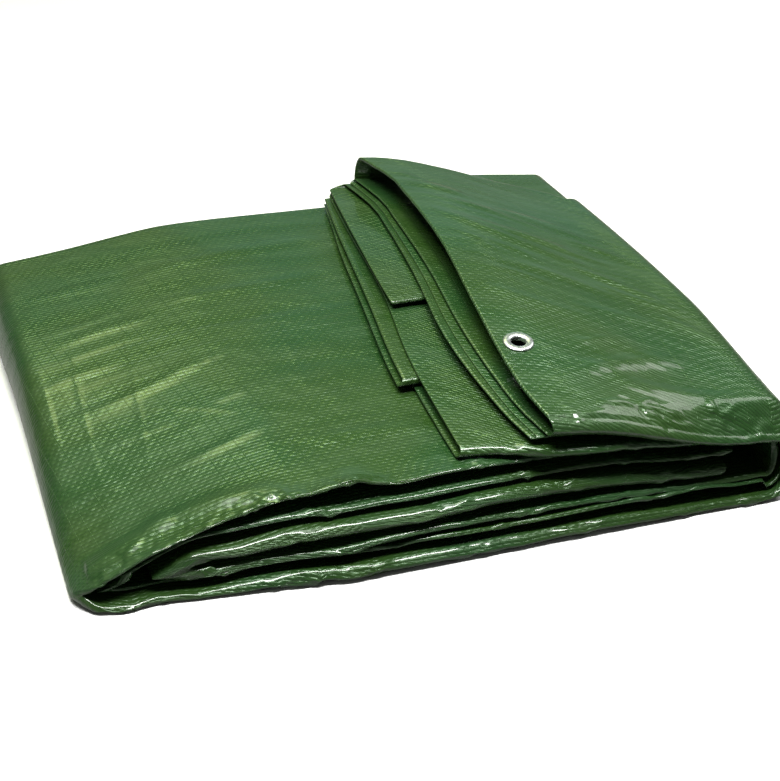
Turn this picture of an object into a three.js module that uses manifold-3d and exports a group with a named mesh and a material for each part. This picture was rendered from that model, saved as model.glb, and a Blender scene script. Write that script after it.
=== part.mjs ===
// A folded tarpaulin: one woven sheet, folded back and forth over its width and then in three
// along its length. The lower pass lies on the floor, the left third is folded over it, and
// the right third lies on top as a flap whose open left end shows the layers. One eyelet sits
// in the hem at that end. X runs along the long front edge, Y to the back and Z up.
// All sizes are in millimetres. The origin is on the floor, under the middle of the pack.
import * as THREE from "three";
import { mergeVertices } from "three/addons/utils/BufferGeometryUtils.js";
import Module from "manifold-3d";

// Sheet and stack
const SHEET = 1; // thickness of the sheet
const LEAST_SPACE = 1.6; // least distance between the middle faces of two layers
const PASS_SPACE = 3.6; // the same between the two lower passes
const FLAP_SPACE = 3; // the same between the flap and the slab

// Outline of the pack
const BACK_Y = 243;
const RIGHT_TURN = { frontX: 258, backX: 246, reach: 26, step: 2.3 };
const LEFT_TURN = { step: 9.5, frontReach: 14, backReach: 22 };
const TOP_PASS_END = { x: 236, step: 2 };
const FRONT_EDGE = [
  { x: -275, y: -203 },
  { x: -253, y: -222 },
  { x: -197, y: -226 },
  { x: -126, y: -235 },
  { x: -77, y: -242 },
  { x: 70, y: -244 },
  { x: 264, y: -247 },
];
const LEFT_TIP = [
  { y: -205, x: -272 },
  { y: -70, x: -275 },
  { y: 50, x: -278 },
  { y: 130, x: -282 },
  { y: 243, x: -284 },
];

// Height of the slab that the two lower passes make
const SLAB_FRONT = 65;
const SLAB_BACK = [
  { x: -264, z: 67 },
  { x: -213, z: 70 },
  { x: -135, z: 75 },
  { x: -82, z: 76 },
  { x: 43, z: 72 },
  { x: 250, z: 67 },
];
const FRONT_SAG = { from: 110, over: 110, depth: 14, share: 0.35 };
const WEDGE = { length: 165, frontTip: 12, backTip: 58, power: 1.35, fades: 0.7 };

// Spaces between neighbouring layers of the slab, from the outside in. The "Edge" columns hold
// at the front folds and the "In" columns behind them.
const SLAB_SPACES = [
  { bottomEdge: 13, bottomIn: 3.4, topEdge: 3, topIn: 3.7 },
  { bottomEdge: 4.5, bottomIn: 3.4, topEdge: 10, topIn: 3.7 },
  { bottomEdge: 4, bottomIn: 3.4, topEdge: 5, topIn: 3.7 },
  { bottomEdge: 1.6, bottomIn: 3.4, topEdge: 1.6, topIn: 3.7 },
  { bottomEdge: 1.6, bottomIn: 3.4, topEdge: 1.6, topIn: 3.7 },
  { bottomEdge: 1.6, bottomIn: 3.4, topEdge: 1.6, topIn: 3.7 },
  { bottomEdge: 1.6, bottomIn: 3.4, topEdge: 4, topIn: 3.7 },
  { bottomEdge: 1.6, bottomIn: 3.4, topEdge: 4, topIn: 3.7 },
  { bottomEdge: 1.6, bottomIn: 3.4, topEdge: 4, topIn: 3.7 },
];
// The flap's spaces, at its front, middle and back: first at its left end, then at its right.
const FLAP_SPACES = [
  { front: 15, middle: 27, back: 24, rightFront: 8.3, rightMiddle: 7, rightBack: 5 },
  { front: 2.4, middle: 2.6, back: 2.4, rightFront: 6.2, rightMiddle: 3, rightBack: 2.2 },
  { front: 2.4, middle: 2.6, back: 2.4, rightFront: 2.2, rightMiddle: 3, rightBack: 2.2 },
  { front: 1.6, middle: 4, back: 3, rightFront: 1.6, rightMiddle: 3, rightBack: 2 },
  { front: 1.6, middle: 4, back: 3, rightFront: 1.6, rightMiddle: 3, rightBack: 2 },
  { front: 1.6, middle: 4, back: 3, rightFront: 1.6, rightMiddle: 3, rightBack: 2 },
  { front: 2.6, middle: 5, back: 3.2, rightFront: 1.9, rightMiddle: 3, rightBack: 2 },
  { front: 2.6, middle: 5, back: 3.2, rightFront: 1.9, rightMiddle: 3, rightBack: 2 },
  { front: 2.6, middle: 5, back: 3.2, rightFront: 1.9, rightMiddle: 3, rightBack: 2 },
];
const EDGE_ZONE = 90; // how far behind the front edge the "edge" spaces fade out
const FLAP_LEFT_X = 85;

// The cloth runs through the levels in this order, with a fold at the front after the first,
// third, fifth... layer and at the back after the others.
const RUN = [0, 1, 2, 3, 4, 5, 6, 9, 8, 7];
const FOLD = { roundness: 0.9, leastRadius: 1.2, mostRadius: 9 };
// How far each front fold stays behind the pack's front edge, along X.
const FRONT_FOLDS = {
  0: {
    bottom: [{ x: -280, y: 0 }, { x: 300, y: 0 }],
    top: [{ x: -280, y: 3 }, { x: -200, y: 8 }, { x: -110, y: 20 }, { x: -40, y: 22 }],
    flap: [{ x: 0, y: 0 }, { x: 300, y: 0 }],
  },
  2: {
    bottom: [{ x: -280, y: 15 }, { x: -60, y: 12 }, { x: 0, y: 6 }, { x: 300, y: 6 }],
    top: [{ x: -280, y: 8 }, { x: -180, y: 14 }, { x: -100, y: 18 }, { x: 300, y: 18 }],
    flap: [{ x: 60, y: 12 }, { x: 95, y: 12 }, { x: 130, y: 20 }, { x: 190, y: 30 }, { x: 300, y: 36 }],
  },
  6: {
    bottom: [{ x: -280, y: 7 }, { x: 300, y: 8 }],
    top: [{ x: -280, y: 5 }, { x: -150, y: 8 }, { x: 300, y: 9 }],
    flap: [
      { x: 0, y: 26 },
      { x: 50, y: 14 },
      { x: 79, y: 4 },
      { x: 118, y: 2 },
      { x: 205, y: 11 },
      { x: 300, y: 24 },
    ],
  },
};
// The short folds inside end at these places instead.
const SHORT_FOLDS = {
  4: { bottom: -20, top: 20, flap: -10 },
  8: { bottom: -118, top: -78, flap: -108 },
};
const BACK_INSETS = { 1: 7, 3: 6, 5: 8, 7: 9, 9: 9 };
const FLAP_FRONT = [
  { x: 60, y: -234 },
  { x: 88, y: -236 },
  { x: 120, y: -240 },
  { x: 170, y: -243 },
  { x: 213, y: -244 },
  { x: 260, y: -246 },
];
const FLAP_BACK = [
  { x: 60, y: 238 },
  { x: 100, y: 231 },
  { x: 130, y: 231 },
  { x: 200, y: 228 },
  { x: 265, y: 216 },
];
// The flap's outer layer lies askew: its back edge draws in towards the right.
const FLAP_OUTER_BACK = [
  { x: 70, y: 238 },
  { x: 100, y: 228 },
  { x: 145, y: 206 },
  { x: 185, y: 183 },
  { x: 230, y: 157 },
  { x: 260, y: 118 },
];
// The flap's outer fold hangs over the others at its front.
const FLAP_DROOP = [
  { x: 80, z: 0 },
  { x: 110, z: 2 },
  { x: 150, z: 7 },
  { x: 190, z: 12 },
  { x: 225, z: 17 },
  { x: 260, z: 20 },
];
const DROOP_ZONE = 24;
// The slab's top fold stands up a little along its front edge.
const EDGE_LIFT = [
  { x: -275, z: 0 },
  { x: -224, z: 6 },
  { x: -181, z: 5 },
  { x: -106, z: 6 },
  { x: -66, z: 9 },
  { x: -37, z: 3 },
  { x: 70, z: 0 },
];
const LIFT_ZONE = 45;
const INNER_END_STEP = 2;
// The outer layer's back edge is turned in by this much.
const TURN_IN = {
  length: 12,
  bottom: [{ x: -280, z: 8 }, { x: 120, z: 8 }, { x: 235, z: 1 }, { x: 260, z: 1 }],
  top: [{ x: -280, z: 11 }, { x: 260, z: 11 }],
  flap: [
    { x: 70, z: 30 },
    { x: 100, z: 26 },
    { x: 108, z: 22 },
    { x: 120, z: 19 },
    { x: 200, z: 7 },
    { x: 260, z: 3 },
  ],
};

// Left ends of the flap's layers, which fan out from the back left corner.
const FLAP_ENDS = [
  { y: -240, level0: 79, level1: 79, level3: 70, level4: 29, level6: 17, level9: 14, level8: 1, level7: 5 },
  { y: -180, level0: 71, level1: 68, level3: 58, level4: 29, level6: 17, level9: 14, level8: 1, level7: 5 },
  { y: -80, level0: 74, level1: 65, level3: 51, level4: 29, level6: 20, level9: 17, level8: 4, level7: 8 },
  { y: 20, level0: 82, level1: 72, level3: 60, level4: 30, level6: 32, level9: 23, level8: 14, level7: 18 },
  { y: 125, level0: 86, level1: 77, level3: 68, level4: 37, level6: 38, level9: 32, level8: 25, level7: 28 },
  { y: 170, level0: 86, level1: 79, level3: 70, level4: 41, level6: 41, level9: 37, level8: 32, level7: 33 },
  { y: 243, level0: 72, level1: 69, level3: 60, level4: 48, level6: 47, level9: 45, level8: 42, level7: 43 },
];

// Where the sheet's points lie: shares of a layer's width, shares of a short layer's width,
// steps round a fold, and places along X that all passes share.
const WIDTH_SHARES = [0, 0.14, 0.36, 0.58, 0.76, 0.85, 0.935, 1];
const SHORT_SHARES = {
  4: [0, 0.14, 0.36, 1],
  5: [0, 0.14, 0.36, 1],
  7: [0, 0.14, 0.36, 0.58, 1],
  8: [0, 0.14, 0.36, 0.58, 1],
};
const LEAST_STEP = 6; // least distance of two points across a layer
const FOLD_STEPS = { 0: 5, 2: 4, 4: 3, 6: 4, 8: 3 };
const BACK_FOLD_STEPS = 3;
const TURN_IN_STEPS = 2;
const RIGHT_STEPS = [118, 165, 212];
const SLAB_STEPS = [-165, -60, 30, 118, 165, 212];
const RIGHT_TURN_STEPS = 5;
const LEFT_TURN_STEPS = 5;
const LEFT_SHARES = { bottom: [0.5], top: [0.3, 0.65] };

// Hem strip and eyelet
const STRIP = { width: 48, backY: 206, frontY: -188, cutHeight: 5, past: 8, gap: 0.3 };
const EYELET = {
  x: 89,
  y: -138,
  outerRadius: 12,
  holeRadius: 6,
  barrelRadius: 6.9,
  crown: 1.7,
  lip: 0.8,
  seat: 0.3,
  curlRadius: 8.2,
};
const WASHER = { outerRadius: 11, innerRadius: 7.3, thickness: 0.8 };
const ROUND_STEPS = 36;

const LOOKS = {
  tarp_sheet: { color: 0x4c6b42, roughness: 0.38, metalness: 0 },
  hem_strip: { color: 0x4a6a41, roughness: 0.38, metalness: 0 },
  eyelet_ring: { color: 0xc4cbc8, roughness: 0.3, metalness: 0.9 },
  eyelet_washer: { color: 0xb4bbb8, roughness: 0.35, metalness: 0.9 },
};

const wasm = await Module();
wasm.setup();

const mix = (a, b, share) => a + (b - a) * share;
const clamp = THREE.MathUtils.clamp;
const soft = (share) => THREE.MathUtils.smoothstep(share, 0, 1);

// A table's "out" column where its "by" column is "value", on a smooth curve through its rows.
function along(rows, by, out, value) {
  const last = rows.length - 1;
  const at = clamp(value, rows[0][by], rows[last][by]);
  let i = 0;
  while (i < last - 1 && rows[i + 1][by] < at) i += 1;
  const slope = (k) => {
    const low = rows[Math.max(k - 1, 0)];
    const high = rows[Math.min(k + 1, last)];
    return (high[out] - low[out]) / (high[by] - low[by]);
  };
  const step = rows[i + 1][by] - rows[i][by];
  const t = (at - rows[i][by]) / step;
  const t2 = t * t;
  const t3 = t2 * t;
  return (
    (2 * t3 - 3 * t2 + 1) * rows[i][out] +
    (t3 - 2 * t2 + t) * step * slope(i) +
    (3 * t2 - 2 * t3) * rows[i + 1][out] +
    (t3 - t2) * step * slope(i + 1)
  );
}

// Three values from front to back, on a smooth curve.
function frontToBack(front, middle, back, share) {
  const rows = [{ v: 0, z: front }, { v: 0.5, z: middle }, { v: 1, z: back }];
  return along(rows, "v", "z", share);
}

const frontEdge = (x) => along(FRONT_EDGE, "x", "y", x);
const widthShare = (x, y) => clamp((y - frontEdge(x)) / (BACK_Y - frontEdge(x)), 0, 1);

// Height of the slab's top away from its left end.
function fullHeight(x, share) {
  const back = along(SLAB_BACK, "x", "z", x);
  const sag = FRONT_SAG.depth * soft((x - FRONT_SAG.from) / FRONT_SAG.over);
  return mix(SLAB_FRONT, back, soft(share)) - sag * (1 - soft(share / FRONT_SAG.share));
}

// Height of the slab's top: at its left end the front corner is drawn down to a wedge.
function slabHeight(x, y) {
  const share = widthShare(x, y);
  const full = fullHeight(x, share);
  const in0 = clamp((x - along(LEFT_TIP, "y", "x", y)) / WEDGE.length, 0, 1);
  const rise = 1 - Math.pow(1 - in0, WEDGE.power);
  const tip = mix(WEDGE.frontTip, WEDGE.backTip, soft(share / WEDGE.fades));
  return mix(tip, full, rise);
}

// Height of a layer's middle face in one pass.
function layerHeight(level, pass, x, y) {
  const share = widthShare(x, y);
  const slab = slabHeight(x, y);
  if (pass === "flap") {
    const right = soft((x - FLAP_LEFT_X) / (RIGHT_TURN.frontX - FLAP_LEFT_X));
    let z = slab + FLAP_SPACE;
    for (const row of FLAP_SPACES.slice(level)) {
      const atLeft = frontToBack(row.front, row.middle, row.back, share);
      z += mix(atLeft, frontToBack(row.rightFront, row.rightMiddle, row.rightBack, share), right);
    }
    if (level < 2) {
      const ahead = 1 - soft((y - along(FLAP_FRONT, "x", "y", x)) / DROOP_ZONE);
      z -= along(FLAP_DROOP, "x", "z", x) * ahead;
    }
    return z;
  }
  const edge = 1 - soft((y - frontEdge(x)) / EDGE_ZONE);
  const loose = (row, side) => mix(row[side + "In"], row[side + "Edge"], edge) - LEAST_SPACE;
  const reached = (x - along(LEFT_TIP, "y", "x", y)) / LEFT_TURN.step;
  let room = slab - SHEET / 2 - PASS_SPACE;
  let wanted = 0;
  SLAB_SPACES.forEach((row, i) => {
    const present = clamp(reached - i, 0, 1);
    room -= 2 * LEAST_SPACE * present;
    wanted += (loose(row, "bottom") + loose(row, "top")) * present;
  });
  const filled = wanted ? clamp(room / wanted, 0, 1) : 1;
  let z = pass === "bottom" ? SHEET / 2 : slab;
  if (pass === "top" && level < 2) {
    z += along(EDGE_LIFT, "x", "z", x) * (1 - soft((y - frontEdge(x)) / LIFT_ZONE));
  }
  for (let i = 0; i < level; i += 1) {
    const space = LEAST_SPACE + filled * loose(SLAB_SPACES[i], pass);
    z += pass === "bottom" ? space : -space;
  }
  return z;
}

// Y of the foremost or rearmost point of the fold that follows layer number "index" of RUN.
function foldTip(index, pass, x) {
  if (index % 2) {
    const back = pass === "flap" ? along(FLAP_BACK, "x", "y", x) : BACK_Y;
    return back - BACK_INSETS[index];
  }
  if (SHORT_FOLDS[index]) return SHORT_FOLDS[index][pass];
  const front = pass === "flap" ? along(FLAP_FRONT, "x", "y", x) : frontEdge(x);
  return front + along(FRONT_FOLDS[index][pass], "x", "y", x);
}

// Half the depth of a fold, from the distance of the two layers that it joins.
function foldRadius(index, pass, x) {
  const tip = foldTip(index, pass, x);
  const high = layerHeight(RUN[index], pass, x, tip);
  const low = layerHeight(RUN[index + 1], pass, x, tip);
  return clamp((Math.abs(high - low) / 2) * FOLD.roundness, FOLD.leastRadius, FOLD.mostRadius);
}

function foldPoint(index, angle, pass, x) {
  const tip = foldTip(index, pass, x);
  const radius = foldRadius(index, pass, x);
  const outward = index % 2 ? 1 : -1;
  const from = layerHeight(RUN[index], pass, x, tip);
  const to = layerHeight(RUN[index + 1], pass, x, tip);
  return {
    y: tip - outward * radius * (1 - Math.sin(angle)),
    z: (from + to) / 2 + ((from - to) / 2) * Math.cos(angle),
  };
}

const outerBack = (pass, x) => (pass === "flap" ? along(FLAP_OUTER_BACK, "x", "y", x) : BACK_Y);

// Y where a layer's flat part starts at the back.
function layerBack(index, pass, x) {
  if (index === 0) return outerBack(pass, x) - TURN_IN.length;
  const before = index % 2 ? index : index - 1;
  if (index === RUN.length - 1) return foldTip(index, pass, x);
  return foldTip(before, pass, x) - foldRadius(before, pass, x);
}

// Y where a layer's flat part ends at the front.
function layerFront(index, pass, x) {
  const fold = index % 2 ? index - 1 : index;
  return foldTip(fold, pass, x) + foldRadius(fold, pass, x);
}

// One point of a layer's flat part. All layers share the places across the width, so that
// neighbours stay parallel, but a layer's first and last point lie at its own folds.
function layerPoint(index, shares, number, pass, x) {
  const last = shares.length - 1;
  const back = layerBack(index, pass, x);
  const front = layerFront(index, pass, x);
  const least = front + (last - number) * LEAST_STEP;
  const most = back - number * LEAST_STEP;
  let y = clamp(mix(BACK_Y, frontEdge(x), shares[number]), least, most);
  if (number === 0) y = back;
  if (number === last) y = front;
  return { y, z: layerHeight(RUN[index], pass, x, y) };
}

function turnInPoint(share, pass, x) {
  const angle = (share * Math.PI) / 2;
  const back = layerBack(0, pass, x);
  const drop = along(TURN_IN[pass], "x", "z", x);
  const inward = pass === "bottom" ? 1 : -1;
  return {
    y: back + TURN_IN.length * Math.sin(angle),
    z: layerHeight(0, pass, x, back) + inward * drop * (1 - Math.cos(angle)),
  };
}

// Columns across the cloth, in the order in which the cloth runs. Each has its place in the
// stack, between 0 outside and 9 inside, and a function that gives its Y and Z.
function columns() {
  const list = [];
  for (let i = 0; i < TURN_IN_STEPS; i += 1) {
    const share = 1 - i / TURN_IN_STEPS;
    list.push({ level: 0, end: [0, 0, 0], at: (pass, x) => turnInPoint(share, pass, x) });
  }
  RUN.forEach((level, index) => {
    const shares = SHORT_SHARES[level] || WIDTH_SHARES;
    const numbers = shares.map((share, number) => number);
    if (index % 2) numbers.reverse();
    for (const number of numbers) {
      const at = (pass, x) => layerPoint(index, shares, number, pass, x);
      list.push({ level, end: [level, level, 0], at });
    }
    if (index === RUN.length - 1) return;
    const steps = index % 2 ? BACK_FOLD_STEPS : FOLD_STEPS[index];
    for (let i = 1; i < steps; i += 1) {
      const angle = (Math.PI * i) / steps;
      const share = (1 - Math.cos(angle)) / 2;
      list.push({
        level: mix(level, RUN[index + 1], share),
        end: [level, RUN[index + 1], share],
        at: (pass, x) => foldPoint(index, angle, pass, x),
      });
    }
  });
  return list;
}

// Left end of a layer on the flap. Level 2 lies between its neighbours, level 5 over level 4.
function flapEnd(level, y) {
  if (level === 2) return (flapEnd(1, y) + flapEnd(3, y)) / 2;
  if (level === 5) return flapEnd(4, y) + INNER_END_STEP;
  return along(FLAP_ENDS, "y", "level" + level, y);
}

// A column's left end on the flap depends on its own Y there, so it is found in rounds.
const END_ROUNDS = 4;
function columnEnd(column) {
  const [a, b, share] = column.end;
  let x = FLAP_LEFT_X;
  for (let i = 0; i < END_ROUNDS; i += 1) {
    const { y } = column.at("flap", x);
    x = mix(flapEnd(a, y), flapEnd(b, y), share);
  }
  return x;
}

// One column's points along the pack: over the flap from its left end, round the right end,
// along the floor to the left, round the left end and back over the slab to the right.
function columnPath(column) {
  const points = [];
  const add = (x, { y, z }) => points.push(new THREE.Vector3(x, y, z));
  const flat = (pass, x) => add(x, column.at(pass, x));

  flat("flap", columnEnd(column));
  RIGHT_STEPS.forEach((x) => flat("flap", x));
  const upper = column.at("flap", RIGHT_TURN.backX);
  const lower = column.at("bottom", RIGHT_TURN.backX);
  const reach = RIGHT_TURN.reach - RIGHT_TURN.step * column.level;
  for (let i = 0; i <= RIGHT_TURN_STEPS; i += 1) {
    const angle = (Math.PI * i) / RIGHT_TURN_STEPS;
    const share = (1 - Math.cos(angle)) / 2;
    const y = mix(upper.y, lower.y, share);
    const start = mix(RIGHT_TURN.frontX, RIGHT_TURN.backX, clamp((y + BACK_Y) / (2 * BACK_Y), 0, 1));
    add(start + reach * Math.sin(angle), { y, z: mix(upper.z, lower.z, share) });
  }

  const nearLeft = column.at("top", LEFT_TIP[0].x).y;
  const tip = along(LEFT_TIP, "y", "x", nearLeft);
  const nose = mix(LEFT_TURN.frontReach, LEFT_TURN.backReach, soft(widthShare(tip, nearLeft)));
  const leftX = tip + nose + LEFT_TURN.step * column.level;
  [...SLAB_STEPS].reverse().forEach((x) => flat("bottom", x));
  LEFT_SHARES.bottom.forEach((share) => flat("bottom", mix(leftX, SLAB_STEPS[0], share)));
  for (let i = 0; i <= LEFT_TURN_STEPS; i += 1) {
    const angle = (Math.PI * i) / LEFT_TURN_STEPS;
    const share = (1 - Math.cos(angle)) / 2;
    const x = leftX - nose * Math.sin(angle);
    const under = column.at("bottom", x);
    const over = column.at("top", x);
    add(x, { y: mix(under.y, over.y, share), z: mix(under.z, over.z, share) });
  }
  LEFT_SHARES.top.forEach((share) => flat("top", mix(leftX, SLAB_STEPS[0], share)));
  SLAB_STEPS.forEach((x) => flat("top", x));
  flat("top", TOP_PASS_END.x - TOP_PASS_END.step * column.level);
  return points;
}

// A flat sheet of one box, folded: each of its points moves to its place on the middle face,
// half a thickness to its own side. The quads of both faces are split the same way, so that
// the sheet keeps its thickness where they are twisted.
function foldedSheet(grid, thickness) {
  const across = grid.length - 1;
  const lengthways = grid[0].length - 1;
  const sheet = new THREE.BoxGeometry(1, 1, 1, across, lengthways, 1);
  const place = sheet.getAttribute("position");
  const point = new THREE.Vector3();
  const alongU = new THREE.Vector3();
  const alongV = new THREE.Vector3();
  for (let i = 0; i < place.count; i += 1) {
    point.fromBufferAttribute(place, i);
    const u = Math.round((point.x + 0.5) * across);
    const v = Math.round((point.y + 0.5) * lengthways);
    alongU.subVectors(grid[Math.min(u + 1, across)][v], grid[Math.max(u - 1, 0)][v]);
    alongV.subVectors(grid[u][Math.min(v + 1, lengthways)], grid[u][Math.max(v - 1, 0)]);
    const side = thickness * point.z;
    point.copy(grid[u][v]).addScaledVector(alongU.cross(alongV).normalize(), side);
    place.setXYZ(i, point.x, point.y, point.z);
  }
  const { start, count } = sheet.groups[sheet.groups.length - 1];
  const corners = sheet.getIndex().array;
  for (let i = start; i < start + count; i += 6) {
    const [a, b, d, , c] = corners.slice(i, i + 5);
    corners.set([a, b, c, a, c, d], i);
  }
  return sheet;
}

function toSolid(geometry) {
  const bare = geometry.clone();
  bare.deleteAttribute("normal");
  bare.deleteAttribute("uv");
  const merged = mergeVertices(bare, 1e-4);
  return new wasm.Manifold(
    new wasm.Mesh({
      numProp: 3,
      vertProperties: new Float32Array(merged.getAttribute("position").array),
      triVerts: new Uint32Array(merged.index.array),
    }),
  );
}

function toGeometry(solid) {
  const mesh = solid.getMesh();
  const geometry = new THREE.BufferGeometry();
  geometry.setAttribute("position", new THREE.BufferAttribute(new Float32Array(mesh.vertProperties), 3));
  geometry.setIndex(new THREE.BufferAttribute(new Uint32Array(mesh.triVerts), 1));
  geometry.computeVertexNormals();
  return geometry;
}

// The piece of the outer layer that the hem strip takes, as a thick block that follows it.
function stripBlock(gap) {
  const ys = WIDTH_SHARES.slice(1, -1)
    .map((share, i) => layerPoint(0, WIDTH_SHARES, i + 1, "flap", EYELET.x).y)
    .filter((y) => y < STRIP.backY - LEAST_STEP && y > STRIP.frontY + LEAST_STEP);
  const grid = [STRIP.backY + gap, ...ys, STRIP.frontY - gap].map((y) => {
    const left = flapEnd(0, y) - STRIP.past;
    const right = flapEnd(0, y) + STRIP.width + gap;
    return [right, left].map((x) => new THREE.Vector3(x, y, layerHeight(0, "flap", x, y)));
  });
  return toSolid(foldedSheet(grid, 2 * STRIP.cutHeight));
}

// The eyelet's own frame: Z along the normal of the outer layer's face that it sits in.
function eyeletFrame(grid) {
  const { x, y } = EYELET;
  let u = TURN_IN_STEPS;
  while (grid[u + 1][0].y > y) u += 1;
  const [back, backRight] = grid[u];
  const [front, frontRight] = grid[u + 1];
  const share = (back.y - y) / (back.y - front.y);
  const left = new THREE.Vector3().lerpVectors(back, front, share);
  const right = new THREE.Vector3().lerpVectors(backRight, frontRight, share);
  const forward = new THREE.Vector3().subVectors(back, front).add(backRight).sub(frontRight);
  const normal = new THREE.Vector3().subVectors(right, left).cross(forward).normalize();
  const frame = new THREE.Object3D();
  frame.position.lerpVectors(left, right, (x - left.x) / (right.x - left.x));
  frame.quaternion.setFromUnitVectors(new THREE.Vector3(0, 0, 1), normal);
  frame.updateMatrixWorld();
  return frame;
}

// A closed profile of radius and height, turned about Z.
function turned(profile) {
  const points = [...profile, profile[0]].map(([radius, height]) => new THREE.Vector2(radius, height));
  return new THREE.LatheGeometry(points, ROUND_STEPS).rotateX(Math.PI / 2);
}

// The ring's crowned flange lies on the strip, its barrel goes through the hole and its lower
// end is curled out under the washer.
function eyeletRing() {
  const { outerRadius, holeRadius, barrelRadius, crown, lip, seat, curlRadius } = EYELET;
  const face = SHEET / 2 + seat;
  const under = -SHEET / 2 - seat - WASHER.thickness - seat;
  const flange = [
    { radius: outerRadius - lip / 2, rise: 0 },
    { radius: outerRadius, rise: 0.3 },
    { radius: outerRadius - lip, rise: 0.7 },
    { radius: (outerRadius + holeRadius) / 2, rise: 1 },
    { radius: holeRadius + lip, rise: 0.85 },
    { radius: holeRadius, rise: 0.45 },
  ];
  return turned([
    ...flange.map(({ radius, rise }) => [radius, face + crown * rise]),
    [holeRadius, under],
    [holeRadius + lip, under - lip],
    [curlRadius, under - lip],
    [curlRadius, under],
    [barrelRadius, under],
    [barrelRadius, face],
  ]);
}

function eyeletWasher() {
  const top = -SHEET / 2 - EYELET.seat;
  const { outerRadius, innerRadius, thickness } = WASHER;
  return turned([
    [innerRadius, top - thickness],
    [outerRadius, top - thickness],
    [outerRadius, top],
    [innerRadius, top],
  ]);
}

function piece(name, geometry) {
  const mesh = new THREE.Mesh(geometry, new THREE.MeshStandardMaterial(LOOKS[name]));
  mesh.name = name;
  return mesh;
}

const grid = columns().map(columnPath);
const whole = toSolid(foldedSheet(grid, SHEET));
const frame = eyeletFrame(grid);
const holeRadius = EYELET.barrelRadius + STRIP.gap;
const drill = new THREE.CylinderGeometry(holeRadius, holeRadius, 4 * STRIP.cutHeight, ROUND_STEPS)
  .rotateX(Math.PI / 2)
  .applyMatrix4(frame.matrixWorld);
const tarp = whole.subtract(stripBlock(STRIP.gap));
const strip = whole.intersect(stripBlock(0)).subtract(toSolid(drill));

const eyelet = new THREE.Group();
eyelet.position.copy(frame.position);
eyelet.quaternion.copy(frame.quaternion);
eyelet.add(piece("eyelet_ring", eyeletRing()), piece("eyelet_washer", eyeletWasher()));

const pack = new THREE.Group();
pack.add(piece("tarp_sheet", toGeometry(tarp)), piece("hem_strip", toGeometry(strip)), eyelet);
const middle = new THREE.Box3().setFromObject(pack).getCenter(new THREE.Vector3());
pack.position.set(-middle.x, -middle.y, 0);

export default pack;
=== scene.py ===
"""A folded tarpaulin: one coated woven sheet, folded back and forth over its width and then in
three along its length, with an eyelet in the hem at the flap's open end. Sizes in the tables are
millimetres; X runs along the front edge, Y to the back and Z up."""

import math

import bpy
import numpy as np
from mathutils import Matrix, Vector


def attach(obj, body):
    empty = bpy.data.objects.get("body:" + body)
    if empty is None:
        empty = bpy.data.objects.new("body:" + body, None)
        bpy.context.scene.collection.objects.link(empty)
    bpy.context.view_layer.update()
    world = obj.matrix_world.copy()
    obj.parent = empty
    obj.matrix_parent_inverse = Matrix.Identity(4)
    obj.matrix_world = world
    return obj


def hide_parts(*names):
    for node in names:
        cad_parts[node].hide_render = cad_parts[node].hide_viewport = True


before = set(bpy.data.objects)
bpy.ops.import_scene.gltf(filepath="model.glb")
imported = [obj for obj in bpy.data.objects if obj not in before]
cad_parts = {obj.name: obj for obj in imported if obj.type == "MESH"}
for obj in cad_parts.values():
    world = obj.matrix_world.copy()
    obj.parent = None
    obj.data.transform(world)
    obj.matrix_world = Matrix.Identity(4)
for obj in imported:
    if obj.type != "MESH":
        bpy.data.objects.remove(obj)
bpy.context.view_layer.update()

bl_info = {
    "name": "Folded tarpaulin",
    "version": (1, 0, 0),
    "blender": (4, 5, 0),
    "location": "View3D > Sidebar > Tarpaulin",
    "description": "Builds a folded woven tarpaulin with its eyelet, floor, light and camera",
    "category": "Add Mesh",
}

MM = 0.001
# Moves the tables' points so that the middle of the pack lies on the frame's origin.
PACK_SHIFT = np.array([0.097, 1.793, 0.0])


def rows(names, *values):
    """A short table: one array for each named column."""
    return dict(zip(names.split(), np.array(values, float).T))


# Sheet and stack
HALF_SHEET = 0.5
LEAST_SPACE = 1.6
PASS_SPACE = 3.6
FLAP_SPACE = 3.0
RUN = (0, 1, 2, 3, 4, 5, 6, 9, 8, 7)

# Outline of the pack
BACK_Y = 243.0
RIGHT_TURN = {"front_x": 258.0, "back_x": 246.0, "reach": 26.0, "step": 2.3}
LEFT_TURN = {"step": 9.5, "front_reach": 14.0, "back_reach": 22.0}
TOP_PASS_END = {"x": 236.0, "step": 2.0}
FRONT_EDGE = rows(
    "x y",
    (-275, -203), (-253, -222), (-197, -226), (-126, -235), (-77, -242), (70, -244), (264, -247),
)
LEFT_TIP = rows("y x", (-205, -272), (-70, -275), (50, -278), (130, -282), (243, -284))

# Height of the slab that the two lower passes make
SLAB_FRONT = 65.0
SLAB_BACK = rows("x z", (-264, 67), (-213, 70), (-135, 75), (-82, 76), (43, 72), (250, 67))
FRONT_SAG = {"start": 110.0, "over": 110.0, "depth": 14.0, "share": 0.35}
WEDGE = {"length": 165.0, "front_tip": 12.0, "back_tip": 58.0, "power": 1.35, "fades": 0.7}

# Spaces between neighbouring layers, from the outside in
SLAB_SPACES = rows(
    "bottom_edge bottom_in top_edge top_in",
    (13, 3.4, 3, 3.7),
    (4.5, 3.4, 10, 3.7),
    (4, 3.4, 5, 3.7),
    *[(1.6, 3.4, 1.6, 3.7)] * 3,
    *[(1.6, 3.4, 4, 3.7)] * 3,
)
FLAP_SPACES = rows(
    "front middle back right_front right_middle right_back",
    (15, 27, 24, 8.3, 7, 5),
    (2.4, 2.6, 2.4, 6.2, 3, 2.2),
    (2.4, 2.6, 2.4, 2.2, 3, 2.2),
    *[(1.6, 4, 3, 1.6, 3, 2)] * 3,
    *[(2.6, 5, 3.2, 1.9, 3, 2)] * 3,
)
EDGE_ZONE = 90.0
FLAP_LEFT_X = 85.0

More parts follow.
